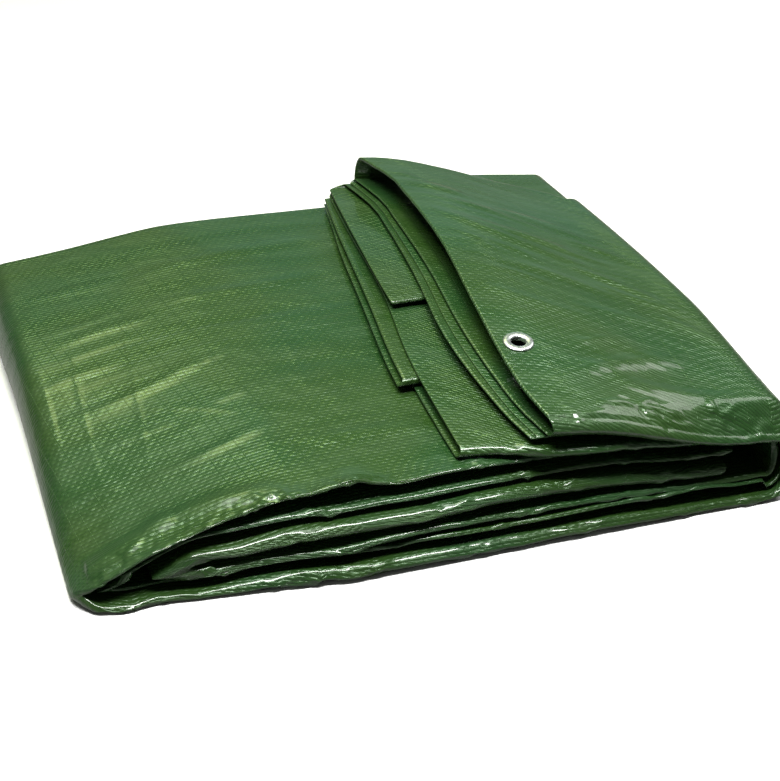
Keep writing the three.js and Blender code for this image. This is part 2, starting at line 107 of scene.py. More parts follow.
# Folds: how far each stays behind the pack's front or back edge
FOLD = {"roundness": 1.25, "least_radius": 1.6, "most_radius": 12.0, "point": 1.5}
FRONT_FOLDS = {
    0: {
        "bottom": rows("x y", (-280, 0), (300, 0)),
        "top": rows("x y", (-280, 3), (-200, 8), (-110, 20), (-40, 22)),
        "flap": rows("x y", (0, 0), (300, 0)),
    },
    2: {
        "bottom": rows("x y", (-280, 15), (-60, 12), (0, 6), (300, 6)),
        "top": rows("x y", (-280, 8), (-180, 14), (-100, 18), (300, 18)),
        "flap": rows("x y", (60, 12), (95, 12), (130, 20), (190, 30), (300, 36)),
    },
    6: {
        "bottom": rows("x y", (-280, 7), (300, 8)),
        "top": rows("x y", (-280, 5), (-150, 8), (300, 9)),
        "flap": rows("x y", (0, 26), (50, 14), (79, 4), (118, 2), (205, 11), (300, 24)),
    },
}
SHORT_FOLDS = {
    4: {"bottom": -20, "top": 20, "flap": -10},
    8: {"bottom": -118, "top": -78, "flap": -108},
}
BACK_INSETS = {1: 7, 3: 6, 5: 8, 7: 9, 9: 9}

# The flap's front folds, its back folds and its outer layer's back edge
FLAP_FRONT = rows("x y", (60, -234), (88, -236), (120, -240), (170, -243), (213, -244), (260, -246))
FLAP_BACK = rows("x y", (60, 238), (100, 231), (130, 231), (200, 228), (265, 216))
FLAP_OUTER_BACK = rows("x y", (70, 238), (100, 228), (145, 206), (185, 183), (230, 157), (260, 118))

# How far the outer fold droops at the flap's front, and is lifted at the front of the slab's top
FLAP_DROOP = rows("x z", (80, 0), (110, 2), (150, 7), (190, 12), (225, 17), (260, 20))
DROOP_ZONE = 24.0
EDGE_LIFT = rows("x z", (-275, 0), (-224, 6), (-181, 5), (-106, 6), (-66, 9), (-37, 3), (70, 0))
LIFT_ZONE = 45.0

# How far the outer layer's back edge is turned in
TURN_IN_LENGTH = 12.0
TURN_IN = {
    "bottom": rows("x z", (-280, 8), (120, 8), (235, 1), (260, 1)),
    "top": rows("x z", (-280, 11), (260, 11)),
    "flap": rows("x z", (70, 32), (100, 30), (108, 25), (120, 20), (200, 7), (260, 3)),
}

# Left ends of the flap's layers
FLAP_ENDS = rows(
    "y level0 level1 level3 level4 level6 level9 level8 level7",
    (-240, 79, 79, 70, 29, 17, 14, 1, 5),
    (-180, 71, 68, 58, 29, 17, 14, 1, 5),
    (-80, 74, 65, 51, 29, 20, 17, 4, 8),
    (20, 82, 72, 60, 30, 32, 23, 14, 18),
    (125, 86, 77, 68, 37, 38, 32, 25, 28),
    (170, 86, 79, 70, 41, 41, 37, 32, 33),
    (243, 72, 69, 60, 48, 47, 45, 42, 43),
)
INNER_END_STEP = 2.0
END_ROUNDS = 5

# The folded hem at the flap's left end: how far from its bend the points of its lower half lie, the
# angles in degrees of the points round the bend, and the bend's radius, larger in the outer layer
HEM = {
    "runs": (16.0, 10.56, 5.28, 1.5),
    "angles": (150, 110, 70, 30),
    "radius": 0.65,
    "outer_radius": 1.5,
    "inward_station": 4,
}

EYELET = {"x": 89.0, "y": -138.207, "z": 114.209, "normal": (0.0363, -0.1403, 0.9894)}


def mix(a, b, share):
    return a + (b - a) * share


def soft(share):
    t = np.clip(share, 0.0, 1.0)
    return t * t * (3 - 2 * t)


def along(table, by, out, value):
    """The column "out" where the column "by" is "value", on a smooth curve through the rows."""
    at, values = table[by], table[out]
    last = len(at) - 1
    low, high = np.maximum(np.arange(last + 1) - 1, 0), np.minimum(np.arange(last + 1) + 1, last)
    slopes = (values[high] - values[low]) / (at[high] - at[low])
    x = np.clip(value, at[0], at[-1])
    i = np.clip(np.searchsorted(at, x, side="left") - 1, 0, last - 1)
    step = at[i + 1] - at[i]
    t = (x - at[i]) / step
    t2, t3 = t * t, t * t * t
    return (
        (2 * t3 - 3 * t2 + 1) * values[i]
        + (t3 - 2 * t2 + t) * step * slopes[i]
        + (3 * t2 - 2 * t3) * values[i + 1]
        + (t3 - t2) * step * slopes[i + 1]
    )


def front_to_back(front, middle, back, share):
    """Three values from front to back, on a smooth curve."""
    return along({"v": np.array([0.0, 0.5, 1.0]), "z": np.array([front, middle, back])}, "v", "z", share)


def front_edge(x):
    return along(FRONT_EDGE, "x", "y", x)


def width_share(x, y):
    edge = front_edge(x)
    return np.clip((y - edge) / (BACK_Y - edge), 0.0, 1.0)


def full_height(x, share):
    """Height of the slab's top away from its left end."""
    back = along(SLAB_BACK, "x", "z", x)
    sag = FRONT_SAG["depth"] * soft((x - FRONT_SAG["start"]) / FRONT_SAG["over"])
    return mix(SLAB_FRONT, back, soft(share)) - sag * (1 - soft(share / FRONT_SAG["share"]))


def slab_height(x, y):
    """Height of the slab's top: at its left end the front corner is drawn down to a wedge."""
    share = width_share(x, y)
    inward = np.clip((x - along(LEFT_TIP, "y", "x", y)) / WEDGE["length"], 0.0, 1.0)
    rise = 1 - np.power(1 - inward, WEDGE["power"])
    tip = mix(WEDGE["front_tip"], WEDGE["back_tip"], soft(share / WEDGE["fades"]))
    return mix(tip, full_height(x, share), rise)


def flap_height(level, x, y):
    """Height of one of the flap's layers."""
    share = width_share(x, y)
    right = soft((x - FLAP_LEFT_X) / (RIGHT_TURN["front_x"] - FLAP_LEFT_X))
    z = slab_height(x, y) + FLAP_SPACE
    for i in range(level, len(RUN) - 1):
        row = {name: column[i] for name, column in FLAP_SPACES.items()}
        at_left = front_to_back(row["front"], row["middle"], row["back"], share)
        at_right = front_to_back(row["right_front"], row["right_middle"], row["right_back"], share)
        z = z + mix(at_left, at_right, right)
    if level < 2:
        ahead = 1 - soft((y - along(FLAP_FRONT, "x", "y", x)) / DROOP_ZONE)
        z = z - along(FLAP_DROOP, "x", "z", x) * ahead
    return z


def layer_height(level, part, x, y):
    """Height of a layer's middle face in one pass: "flap", "bottom" or "top"."""
    if part == "flap":
        return flap_height(level, x, y)
    slab = slab_height(x, y)
    edge = 1 - soft((y - front_edge(x)) / EDGE_ZONE)
    reached = (x - along(LEFT_TIP, "y", "x", y)) / LEFT_TURN["step"]
    loose = {}
    room, wanted = slab - HALF_SHEET - PASS_SPACE, 0.0
    for side in ("bottom", "top"):
        loose[side] = [
            mix(inside, outside, edge) - LEAST_SPACE
            for inside, outside in zip(SLAB_SPACES[side + "_in"], SLAB_SPACES[side + "_edge"])
        ]
        for i, space in enumerate(loose[side]):
            present = np.clip(reached - i, 0.0, 1.0)
            room = room - LEAST_SPACE * present
            wanted = wanted + space * present
    filled = np.where(wanted > 0, np.clip(room / np.maximum(wanted, 1e-6), 0.0, 1.0), 1.0)
    z = np.zeros_like(slab) + HALF_SHEET if part == "bottom" else slab
    if part == "top" and level < 2:
        z = z + along(EDGE_LIFT, "x", "z", x) * (1 - soft((y - front_edge(x)) / LIFT_ZONE))
    for i in range(level):
        space = LEAST_SPACE + filled * loose[part][i]
        z = z + space if part == "bottom" else z - space
    return z


def fold_tip(index, part, x):
    """Y of the foremost or rearmost point of the fold that follows layer "index" of RUN."""
    if index % 2:
        back = along(FLAP_BACK, "x", "y", x) if part == "flap" else BACK_Y
        return back - BACK_INSETS[index] + 0 * x
    if index in SHORT_FOLDS:
        return SHORT_FOLDS[index][part] + 0 * x
    front = along(FLAP_FRONT, "x", "y", x) if part == "flap" else front_edge(x)
    return front + along(FRONT_FOLDS[index][part], "x", "y", x)


def fold_radius(index, part, x):
    """Half the depth of a fold, from the distance of the two layers that it joins."""
    tip = fold_tip(index, part, x)
    depth = np.abs(layer_height(RUN[index], part, x, tip) - layer_height(RUN[index + 1], part, x, tip))
    return np.clip(depth / 2 * FOLD["roundness"], FOLD["least_radius"], FOLD["most_radius"])


def fold_points(index, angle, part, x):
    tip = fold_tip(index, part, x)
    outward = 1 if index % 2 else -1
    start = layer_height(RUN[index], part, x, tip)
    end = layer_height(RUN[index + 1], part, x, tip)
    y = tip - outward * fold_radius(index, part, x) * (1 - np.sin(angle))
    turn = np.cos(angle)
    return y, (start + end) / 2 + (start - end) / 2 * np.sign(turn) * np.abs(turn) ** FOLD["point"]


def layer_back(index, part, x):
    """Y where a layer's flat part starts at the back."""
    if index == 0:
        return (along(FLAP_OUTER_BACK, "x", "y", x) if part == "flap" else BACK_Y + 0 * x) - TURN_IN_LENGTH
    if index == len(RUN) - 1:
        return fold_tip(index, part, x)
    before = index if index % 2 else index - 1
    return fold_tip(before, part, x) - fold_radius(before, part, x)


def layer_front(index, part, x):
    """Y where a layer's flat part ends at the front."""
    fold = index - 1 if index % 2 else index
    return fold_tip(fold, part, x) + fold_radius(fold, part, x)


def layer_points(index, share, part, x):
    y = mix(layer_back(index, part, x), layer_front(index, part, x), share)
    return y, layer_height(RUN[index], part, x, y)


def turn_in_points(index, share, part, x):
    """The outer layer's back edge, turned in towards the pack."""
    angle = share * math.pi / 2
    back = layer_back(index, part, x)
    inward = 1 if part == "bottom" else -1
    depth = inward * along(TURN_IN[part], "x", "z", x)
    z = layer_height(RUN[index], part, x, back) + depth * (1 - np.cos(angle))
    return back + TURN_IN_LENGTH * np.sin(angle), z


class Columns:
    """Lines along the cloth, side by side across it, in the order in which the cloth runs."""

    def __init__(self):
        self.groups = []
        self.level, self.end_a, self.end_b, self.end_share = [], [], [], []

    def add(self, function, index, values, levels, ends, end_share):
        start = len(self.level)
        self.groups.append((function, index, np.asarray(values, float)[:, None], start))
        self.level.extend(levels)
        self.end_a.extend([ends[0]] * len(values))
        self.end_b.extend([ends[1]] * len(values))
        self.end_share.extend(end_share)
        return self

    def turn_in(self, count):
        shares = 1 - np.arange(count) / count
        zeros = [0] * count
        return self.add("turn_in", 0, shares, zeros, (0, 0), zeros)

    def layer(self, index, shares):
        """Shares run from 0 at the back to 1 at the front."""
        level = RUN[index]
        shares = shares if index % 2 == 0 else shares[::-1]
        return self.add("layer", index, shares, [level] * len(shares), (level, level), [0] * len(shares))

    def fold(self, index, steps):
        angles = np.pi * np.arange(1, steps) / steps
        share = (1 - np.cos(angles)) / 2
        a, b = RUN[index], RUN[index + 1]
        return self.add("fold", index, angles, list(mix(a, b, share)), (a, b), list(share))

    def at(self, part, x):
        """Y and Z of every column at its own X values."""
        y, z = np.empty_like(x), np.empty_like(x)
        makers = {"turn_in": turn_in_points, "layer": layer_points, "fold": fold_points}
        for kind, index, values, start in self.groups:
            some = slice(start, start + len(values))
            y[some], z[some] = makers[kind](index, values, part, x[some])
        return y, z

    def first(self, kind, index):
        """Number of the first column of a fold or layer, and how many it has."""
        for name, number, values, start in self.groups:
            if (name, number) == (kind, index):
                return start, len(values)
        raise ValueError(f"no {kind} {index}")


def flap_end(level, y):
    """Left end of a layer on the flap. Level 2 lies between its neighbours."""
    if level == 2:
        return (flap_end(1, y) + flap_end(3, y)) / 2
    if level == 5:
        return flap_end(4, y) + INNER_END_STEP
    return along(FLAP_ENDS, "y", f"level{level}", y)


def column_ends(columns):
    """X of each column's left end on the flap, found in rounds because it depends on its Y."""
    end_a, end_b = np.array(columns.end_a), np.array(columns.end_b)
    share = np.array(columns.end_share, float)
    x = np.full((len(share), 1), FLAP_LEFT_X)
    for _ in range(END_ROUNDS):
        y, _z = columns.at("flap", x)
        y = y[:, 0]
        ends = {level: flap_end(level, y) for level in set(columns.end_a) | set(columns.end_b)}
        first = np.choose(end_a, [ends.get(level, y) for level in range(len(RUN))])
        second = np.choose(end_b, [ends.get(level, y) for level in range(len(RUN))])
        x = mix(first, second, share)[:, None]
    return x


def spread(*stretches):
    """Shares from 0 to 1, with each (end, steps) stretch evenly stepped."""
    parts, start = [np.array([0.0])], 0.0
    for end, steps in stretches:
        parts.append(np.linspace(start, end, steps + 1)[1:])
        start = end
    return np.concatenate(parts)


def half_turn(steps):
    """The angles of a half turn, and the shares of the way from one side to the other."""
    angle = np.linspace(0, np.pi, steps + 1)[None, :]
    return angle, (1 - np.cos(angle)) / 2


def sheet_grid(columns, steps):
    """Points of the folded cloth, columns by stations, and the name of each station's pass."""
    level = np.array(columns.level, float)[:, None]
    end_x = column_ends(columns)

    def turn_start(y):
        share = np.clip((y + BACK_Y) / (2 * BACK_Y), 0.0, 1.0)
        return mix(RIGHT_TURN["front_x"], RIGHT_TURN["back_x"], share)

    some_x = np.full_like(end_x, RIGHT_TURN["back_x"])
    upper_x = turn_start(columns.at("flap", some_x)[0])
    lower_x = turn_start(columns.at("bottom", some_x)[0])
    upper, lower = columns.at("flap", upper_x), columns.at("bottom", lower_x)
    near_left = columns.at("top", np.full_like(end_x, LEFT_TIP["x"][0]))[0]
    tip = along(LEFT_TIP, "y", "x", near_left)
    nose = mix(LEFT_TURN["front_reach"], LEFT_TURN["back_reach"], soft(width_share(tip, near_left)))
    left_x = tip + nose + LEFT_TURN["step"] * level
    last_x = TOP_PASS_END["x"] - TOP_PASS_END["step"] * level

    pieces, names = [], []

    def add(name, x, y, z):
        pieces.append(np.stack([x, y, z], axis=2))
        names.extend([name] * x.shape[1])

    def flat(name, start, end, shares):
        x = mix(start, end, shares[None, :])
        add(name, x, *columns.at(name, x))

    flat("flap", end_x, upper_x, steps["flap"][:-1])
    angle, share = half_turn(steps["right_turn"])
    y = mix(upper[0], lower[0], share)
    reach = RIGHT_TURN["reach"] - RIGHT_TURN["step"] * level
    add("right_turn", turn_start(y) + reach * np.sin(angle), y, mix(upper[1], lower[1], share))
    flat("bottom", lower_x, left_x, steps["bottom"][1:-1])
    angle, share = half_turn(steps["left_turn"])
    x = left_x - nose * np.sin(angle)
    under, over = columns.at("bottom", x), columns.at("top", x)
    add("left_turn", x, mix(under[0], over[0], share), mix(under[1], over[1], share))
    flat("top", left_x, last_x, steps["top"][1:])
    return np.concatenate(pieces, axis=1), np.array(names)


def normals_of(points):
    across = np.gradient(points, axis=0)
    lengthways = np.gradient(points, axis=1)
    normal = np.cross(across, lengthways)
    return normal / np.maximum(np.linalg.norm(normal, axis=2, keepdims=True), 1e-9)


def measure(points, axis):
    """Running length along one axis of the grid."""
    step = np.linalg.norm(np.diff(points, axis=axis), axis=2)
    return np.concatenate([np.zeros_like(np.take(step, [0], axis)), np.cumsum(step, axis=axis)], axis=axis)


def add_hem(points, names, outer_count=0):
    """Folds the cloth under itself at the flap's left end, as a hem, thicker in the outer columns."""
    normal = normals_of(points)
    first, second = points[:, 0], points[:, HEM["inward_station"]]
    inward = second - first
    inward /= np.linalg.norm(inward, axis=1, keepdims=True)
    normal = normal[:, 0]
    radius = np.full((len(points), 1), HEM["radius"])
    radius[:outer_count] = HEM["outer_radius"]
    hem = []
    for run in HEM["runs"]:
        station = np.argmin(np.abs(measure(points, 1).mean(axis=0) - run))
        hem.append(points[:, station] - normal * 2 * radius)
    for angle in np.radians(HEM["angles"]):
        bend = first + inward * radius * (1 - math.sin(angle))
        hem.append(bend - normal * radius * (1 - math.cos(angle)))
    hem = np.stack(hem, axis=1)
    points = points.copy()
    points[:, 0] = first + inward * radius
    return np.concatenate([hem, points], axis=1), np.concatenate([["hem"] * hem.shape[1], names])


def add_object(name, data):
    """A new object in the scene, from a mesh, a light or a camera."""
    item = bpy.data.objects.new(name, data)
    bpy.context.scene.collection.objects.link(item)
    return item


def mesh_from_grid(name, points, uv, keep=None):
    """A mesh object of quads from a grid of points in the tables' millimetres."""
    across, lengthways = points.shape[:2]
    place = (points.reshape(-1, 3) + PACK_SHIFT) * MM
    corner = np.arange(across * lengthways).reshape(across, lengthways)
    four = [corner[:-1, :-1], corner[1:, :-1], corner[1:, 1:], corner[:-1, 1:]]
    quads = np.stack(four, axis=2).reshape(-1, 4)
    if keep is not None:
        quads = quads[keep.reshape(-1)]
        used = np.zeros(len(place), bool)
        used[quads.reshape(-1)] = True
        number = np.cumsum(used) - 1
        place, quads = place[used], number[quads]
        uv = uv.reshape(-1, 2)[used]
    uv = uv.reshape(-1, 2) * MM
    mesh = bpy.data.meshes.new(name)
    mesh.vertices.add(len(place))
    mesh.vertices.foreach_set("co", place.reshape(-1))
    mesh.loops.add(quads.size)
    mesh.loops.foreach_set("vertex_index", quads.reshape(-1))
    mesh.polygons.add(len(quads))
    mesh.polygons.foreach_set("loop_start", np.arange(0, quads.size, 4))
    mesh.update(calc_edges=True)
    layer = mesh.uv_layers.new(name="Cloth")
    layer.data.foreach_set("uv", uv[quads.reshape(-1)].reshape(-1))
    mesh.polygons.foreach_set("use_smooth", np.ones(len(quads), bool))
    mesh.validate()
    return add_object(name, mesh)


# Where the stations lie along the cloth: shares of each pass, and steps round each turn.
OUTER_STEPS = {
    "flap": spread((1.0, 82)),
    "right_turn": 26,
    "bottom": spread((1.0, 130)),
    "left_turn": 20,
    "top": spread((0.3, 72), (1.0, 150)),
}
INNER_STEPS = {
    "flap": spread((0.3, 24), (1.0, 36)),
    "right_turn": 16,
    "bottom": spread((1.0, 130)),
    "left_turn": 10,
    "top": spread((1.0, 150)),
}
SEAM_SHARE = 0.86


def outer_columns():
    columns = Columns().turn_in(5)
    columns.layer(0, spread((0.06, 8), (0.78, 82), (1.0, 54)))
    columns.fold(0, 18)
    columns.layer(1, spread((1.0, 22)) * (1 - SEAM_SHARE) + SEAM_SHARE)
    return columns


def inner_columns():
    columns = Columns()
    deep = spread((0.8, 14), (1.0, 24))
    columns.layer(1, spread((1.0, 16)) * SEAM_SHARE)
    columns.fold(1, 7)
    columns.layer(2, deep).fold(2, 14).layer(3, deep).fold(3, 7)
    columns.layer(4, spread((1.0, 12))).fold(4, 8).layer(5, spread((1.0, 12))).fold(5, 7)
    columns.layer(6, deep).fold(6, 14).layer(7, deep).fold(7, 7)
    columns.layer(8, spread((1.0, 12))).fold(8, 8).layer(9, spread((1.0, 12)))
    return columns


# Creases, each from one end to the other. "bend" shifts its middle sideways, "width" is half its foot,
# "height" is below zero for a trough, and "sharp" runs from 0, soft, to 1, a fold line.
CREASE = "x0 y0 x1 y1 bend width height sharp"
SLAB_CREASES = rows(
    CREASE,
    (-244, 62, -150, 72, 4, 8.2, 1.1, 0.3),
    (-250, -36, -132, -12, -5, 7.7, 1.4, 0.3),
    (-205, -134, -95, -116, -4, 7.2, 1.1, 0.3),
    (-168, 96, 10, 104, -8, 9.4, 1.2, 0.3),
    (-176, 138, 20, 168, 6, 11, 1.1, 0.3),
    (-250, 150, -170, 144, 4, 8.8, 0.8, 0.3),
    (-262, 8, -190, 20, 3, 6.6, 0.8, 0.3),
    (-258, -66, -190, -72, -3, 6.6, 0.8, 0.3),
    (-262, -120, -215, -132, 3, 5.5, 0.8, 0.3),
    (-120, 36, 30, 46, 5, 8.8, -0.8, 0.3),
    (-110, -40, 20, -52, 8, 11, -0.8, 0.3),
    (-90, -150, 20, -160, 5, 8.8, 0.8, 0.3),
    (-190, -49, -119, -94, 3, 3.5, 0.7, 1),
    (-176, 182, -199, -136, 3, 2.6, 0.42, 1),
    (-127, 60, -128, -60, 2, 2.4, 0.35, 1),
    (-260, 40, -258, -90, 3, 3, 0.56, 1),
    (-222, 120, -232, -150, -4, 2.6, 0.42, 1),
    (-60, 120, -66, -150, 4, 2.6, 0.31, 1),
    (-266, -194, -190, -184, -5, 15, 5.0, 0.1),
    (-214, -187, -112, -202, 4, 14, 5.2, 0.1),
    (-238, 40, -160, 46, 3, 5, 0.7, 0.3),
    (-246, 84, -176, 96, -3, 5, 0.7, 0.3),
    (-248, -92, -168, -78, 4, 6, 0.8, 0.3),
    (-176, -20, -90, 2, -3, 6, 0.7, 0.3),
    (-150, -76, -70, -62, 3, 6, 0.6, 0.3),
)
FLAP_CREASES = rows(
    CREASE,
    (85, 158, 140, 118, 3, 7.4, 1.4, 0.2),
    (94, 86, 205, -32, -9, 6.8, 2.2, 0.3),
    (108, 72, 206, 0, -5, 6.2, 1.6, 0.2),
    (106, 24, 158, -28, 5, 5, 1.2, 0.3),
    (178, -24, 240, -100, 4, 5.6, 1.9, 0.3),
    (98, -190, 222, -166, 6, 12, 2.2, 0.1),
    (140, -190, 258, -220, -6, 12, 2.6, 0.2),
    (92, 124, 172, 70, -3, 5.6, 1.2, 0.3),
    (118, -20, 206, -86, 4, 6.2, 1.3, 0.3),
    (90, -58, 172, -116, -5, 7.4, 1.2, 0.2),
    (150, -92, 236, -136, 4, 5.6, 1.2, 0.3),
    (150, 90, 214, 50, 3, 5.6, 1.2, 0.3),
    (200, 30, 250, -30, 3, 5.6, 1.2, 0.3),
    (88, 180, 116, 150, 2, 4.3, 1, 0.4),
    (96, 40, 124, -4, 2, 3.7, 0.9, 0.5),
    (216, -104, 262, -160, 3, 5, 1.4, 0.4),
    (92, 146, 150, 104, 3, 5, 1.2, 0.5),
    (98, 104, 168, 52, -3, 5, 0.9, 0.5),
    (126, 96, 196, 34, 3, 5, 1.2, 0.5),
    (150, 40, 226, -26, -3, 5, 1.3, 0.5),
    (166, 78, 232, 22, 2, 4, 1, 0.5),
    (100, -30, 150, -62, 2, 5, 0.9, 0.5),
    (186, -52, 250, -110, -3, 5, 1.3, 0.5),
    (120, -150, 186, -138, 3, 6, 1, 0.4),
)
# Pinches: small creases that run out like a star from one point of a front fold, "v" millimetres
# round the cloth from the fold's foremost line, towards the layer above where it is above zero.
PINCH = "x v reach height"
PINCHES = {
    ("flap", 0): rows(
        PINCH,
        (100, 12, 20, 0.9), (150, 26, 24, 2.0), (168, 16, 18, 1.6), (215, 22, 22, 2.0), (246, 14, 18, 1.6),
    ),
    ("top", 0): rows(
        PINCH,
        (-264, -2, 14, 2.2), (-250, 4, 16, 1.6), (-232, 16, 18, 1.6), (-206, 8, 16, 1.1),
        (-176, 8, 15, 1.1), (-150, 6, 14, 1.3), (-131, 10, 17, 1.8), (-119, 6, 14, 1.7),
        (-77, 4, 18, 1.8), (-40, 4, 16, -1.2), (27, 6, 14, 1.6), (70, 4, 14, 1.0),
    ),
    ("bottom", 0): rows(
        PINCH,
        (-262, 6, 16, 2.4), (-247, 12, 18, 2.2), (-228, -2, 18, 1.6), (-205, -6, 16, 1.0),
        (-128, 2, 24, 2.0), (-105, 8, 22, 2.0), (-62, 2, 20, 1.6), (20, 0, 18, 1.1),
        (110, 2, 22, 1.3), (190, 4, 20, 1.2), (236, 2, 20, 1.6),
    ),
    ("top", 2): rows(PINCH, (-92, 2, 18, 1.8), (66, 3, 18, 1.8), (140, 2, 16, 1.2), (214, 2, 18, 1.6)),
    ("bottom", 2): rows(PINCH, (40, 0, 18, 1.2), (165, 3, 20, 1.6), (200, 2, 18, 1.4), (-40, 0, 16, 1.2)),
    ("top", 6): rows(PINCH, (0, 4, 22, 1.6), (-110, 2, 20, 1.4), (90, 2, 18, 1.2), (175, 2, 20, 1.4)),
    ("bottom", 6): rows(PINCH, (-80, 2, 20, 1.8), (-170, 2, 18, 1.4), (60, 0, 20, 1.2), (140, 0, 18, 1.2)),
    ("flap", 2): rows(PINCH, (120, 2, 16, 1.0), (180, 2, 16, 1.0)),
    ("flap", 6): rows(PINCH, (60, 3, 16, 1.2), (140, 2, 16, 1.0)),
}
# A pinch's rays: their direction, reach, width and bend are drawn within these limits, and every
# second ray is a trough.
RAY = {
    "count": 5, "swing": 0.3, "reach": (0.7, 1.2), "along": 1.3, "across": 0.7, "trough": -0.6,
    "width": (2.4, 4.2), "bend": 2.0, "sharp": 0.8,
}
# Cross-section of a crease: how fast a soft one falls, a pointed one's height and bluntness, and how
# slowly its height grows from its ends
CREST = {"fall": 1.6, "point": 1.02, "blunt": 0.006, "ends": 0.7}

# Waves of the front folds along the pack: their lengths and shares, their heights, how far they
# reach round the cloth, and where they fade out at the left end
WAVES = ((210.0, 1.0), (94.0, 0.5), (47.0, 0.15))
WAVE = {"inward": 0.8, "upward": 0.4, "reach": 26.0, "stretch": (0.85, 1.15)}
WAVE_END = {"x": -270.0, "over": 40.0}
# How much higher or lower than in the tables above a front fold lies along the pack.
FOLD_RISE = {
    ("top", 0): rows("x z", (-100, 0), (-84, 2), (-66, 4), (-50, 0), (-36, -1), (0, 1), (40, 1), (80, 0)),
    ("top", 2): rows("x z", (-215, 5), (-181, 5), (-149, 1), (-114, -1), (0, 0), (180, -1), (230, 0)),
    ("top", 6): rows("x z", (-184, 3), (-149, -3), (-80, 0), (-3, 1), (36, 4), (84, 2), (140, 0)),
    ("bottom", 6): rows("x z", (-184, -4), (-149, -5), (-114, -5), (-78, -3), (-41, 0), (60, 0)),
    ("bottom", 2): rows("x z", (-41, 0), (-3, 4), (36, 2), (84, 3), (157, 5), (199, 9), (233, 6)),
}
# The crumple that covers the cloth: sizes of its coarse and fine facets and of the patches where it
# is stronger, and its depths
CRUMPLE = {
    "length": 62.0, "width": 8.0, "slant": 0.2, "fine_length": 21.0, "fine_width": 5.0, "fine": 0.45,
    "patch_length": 90.0, "patch_width": 60.0, "least": 0.35,
}
FACET = {"tile": 64, "blunt": 0.02, "middle": 0.5}
CRUMPLE_DEPTH = {"face": 0.3, "flap": 0.6, "fold": 0.9, "hidden": 0.3, "fold_reach": 30.0}
FLOOR_CLEARANCE = 0.2
# Where the cloth lies flat round the eyelet, and where it is cut away for the barrel
EYELET_FLAT = {"inside": 13.0, "outside": 42.0, "depth": 6.0, "cut": 9.2, "cut_depth": 5.0}


def crest(distance, sharp):
    """Cross-section of a crease, from its middle line out, 1 high and about 1 wide."""
    rounded = np.exp(-CREST["fall"] * distance**2)
    pointed = np.maximum(0.0, CREST["point"] - np.sqrt(distance**2 + CREST["blunt"]))
    return mix(rounded, pointed, sharp)


def crease_heights(x, y, table):
    """Heights that all the creases of a table add at the points x and y."""
    height = np.zeros_like(x)
    for i in range(len(table["x0"])):
        x0, y0, x1, y1, bend, width, tall, sharp = (table[name][i] for name in CREASE.split())
        length = math.hypot(x1 - x0, y1 - y0)
        ahead_x, ahead_y = (x1 - x0) / length, (y1 - y0) / length
        share = np.clip(((x - x0) * ahead_x + (y - y0) * ahead_y) / length, 0.0, 1.0)
        side = (y - y0) * ahead_x - (x - x0) * ahead_y - bend * 4 * share * (1 - share)
        height += tall * np.sin(np.pi * share) ** CREST["ends"] * crest(side / width, sharp)
    return height


def pinch_creases(pinches, dice):
    """The creases of each pinch, as a table."""
    creases = []
    for x, v, reach, height in zip(*(pinches[name] for name in PINCH.split())):
        turn = dice.uniform(0, math.pi)
        for ray in range(RAY["count"]):
            angle = turn + 2 * math.pi * (ray + dice.uniform(-RAY["swing"], RAY["swing"])) / RAY["count"]
            long = reach * dice.uniform(*RAY["reach"])
            end_x = x + RAY["along"] * long * math.cos(angle)
            end_v = v + RAY["across"] * long * math.sin(angle)
            tall = height if ray % 2 == 0 else RAY["trough"] * height
            width = dice.uniform(*RAY["width"])
            bend = dice.uniform(-RAY["bend"], RAY["bend"])
            creases.append((x, v, end_x, end_v, bend, width, tall, RAY["sharp"]))
    return rows(CREASE, *creases)


def facets(p, q, seed):
    """Crumpled film: flat cones with sharp ridges between them, about one to each unit of p and q."""
    tile = FACET["tile"]
    offsets = np.random.default_rng(seed).random((tile, tile, 2))
    cell_p, cell_q = np.floor(p).astype(int), np.floor(q).astype(int)
    nearest = np.full(p.shape, np.inf)
    for step_p in (-1, 0, 1):
        for step_q in (-1, 0, 1):
            at_p, at_q = cell_p + step_p, cell_q + step_q
            offset = offsets[at_p % tile, at_q % tile]
            away = np.hypot(at_p + offset[..., 0] - p, at_q + offset[..., 1] - q)
            nearest = np.minimum(nearest, away)
    return np.sqrt(nearest**2 + FACET["blunt"]) - FACET["middle"]


def wave(x, dice):
    """A smooth uneven line along the pack, about 1 high."""
    total = np.zeros_like(x)
    for length, share in WAVES:
        stretched = length * dice.uniform(*WAVE["stretch"])
        total += share * np.sin(2 * np.pi * (x / stretched + dice.random()))
    return total


def bell(distance, reach):
    """1 at no distance, and falling away smoothly."""
    return np.exp(-((distance / reach) ** 2))


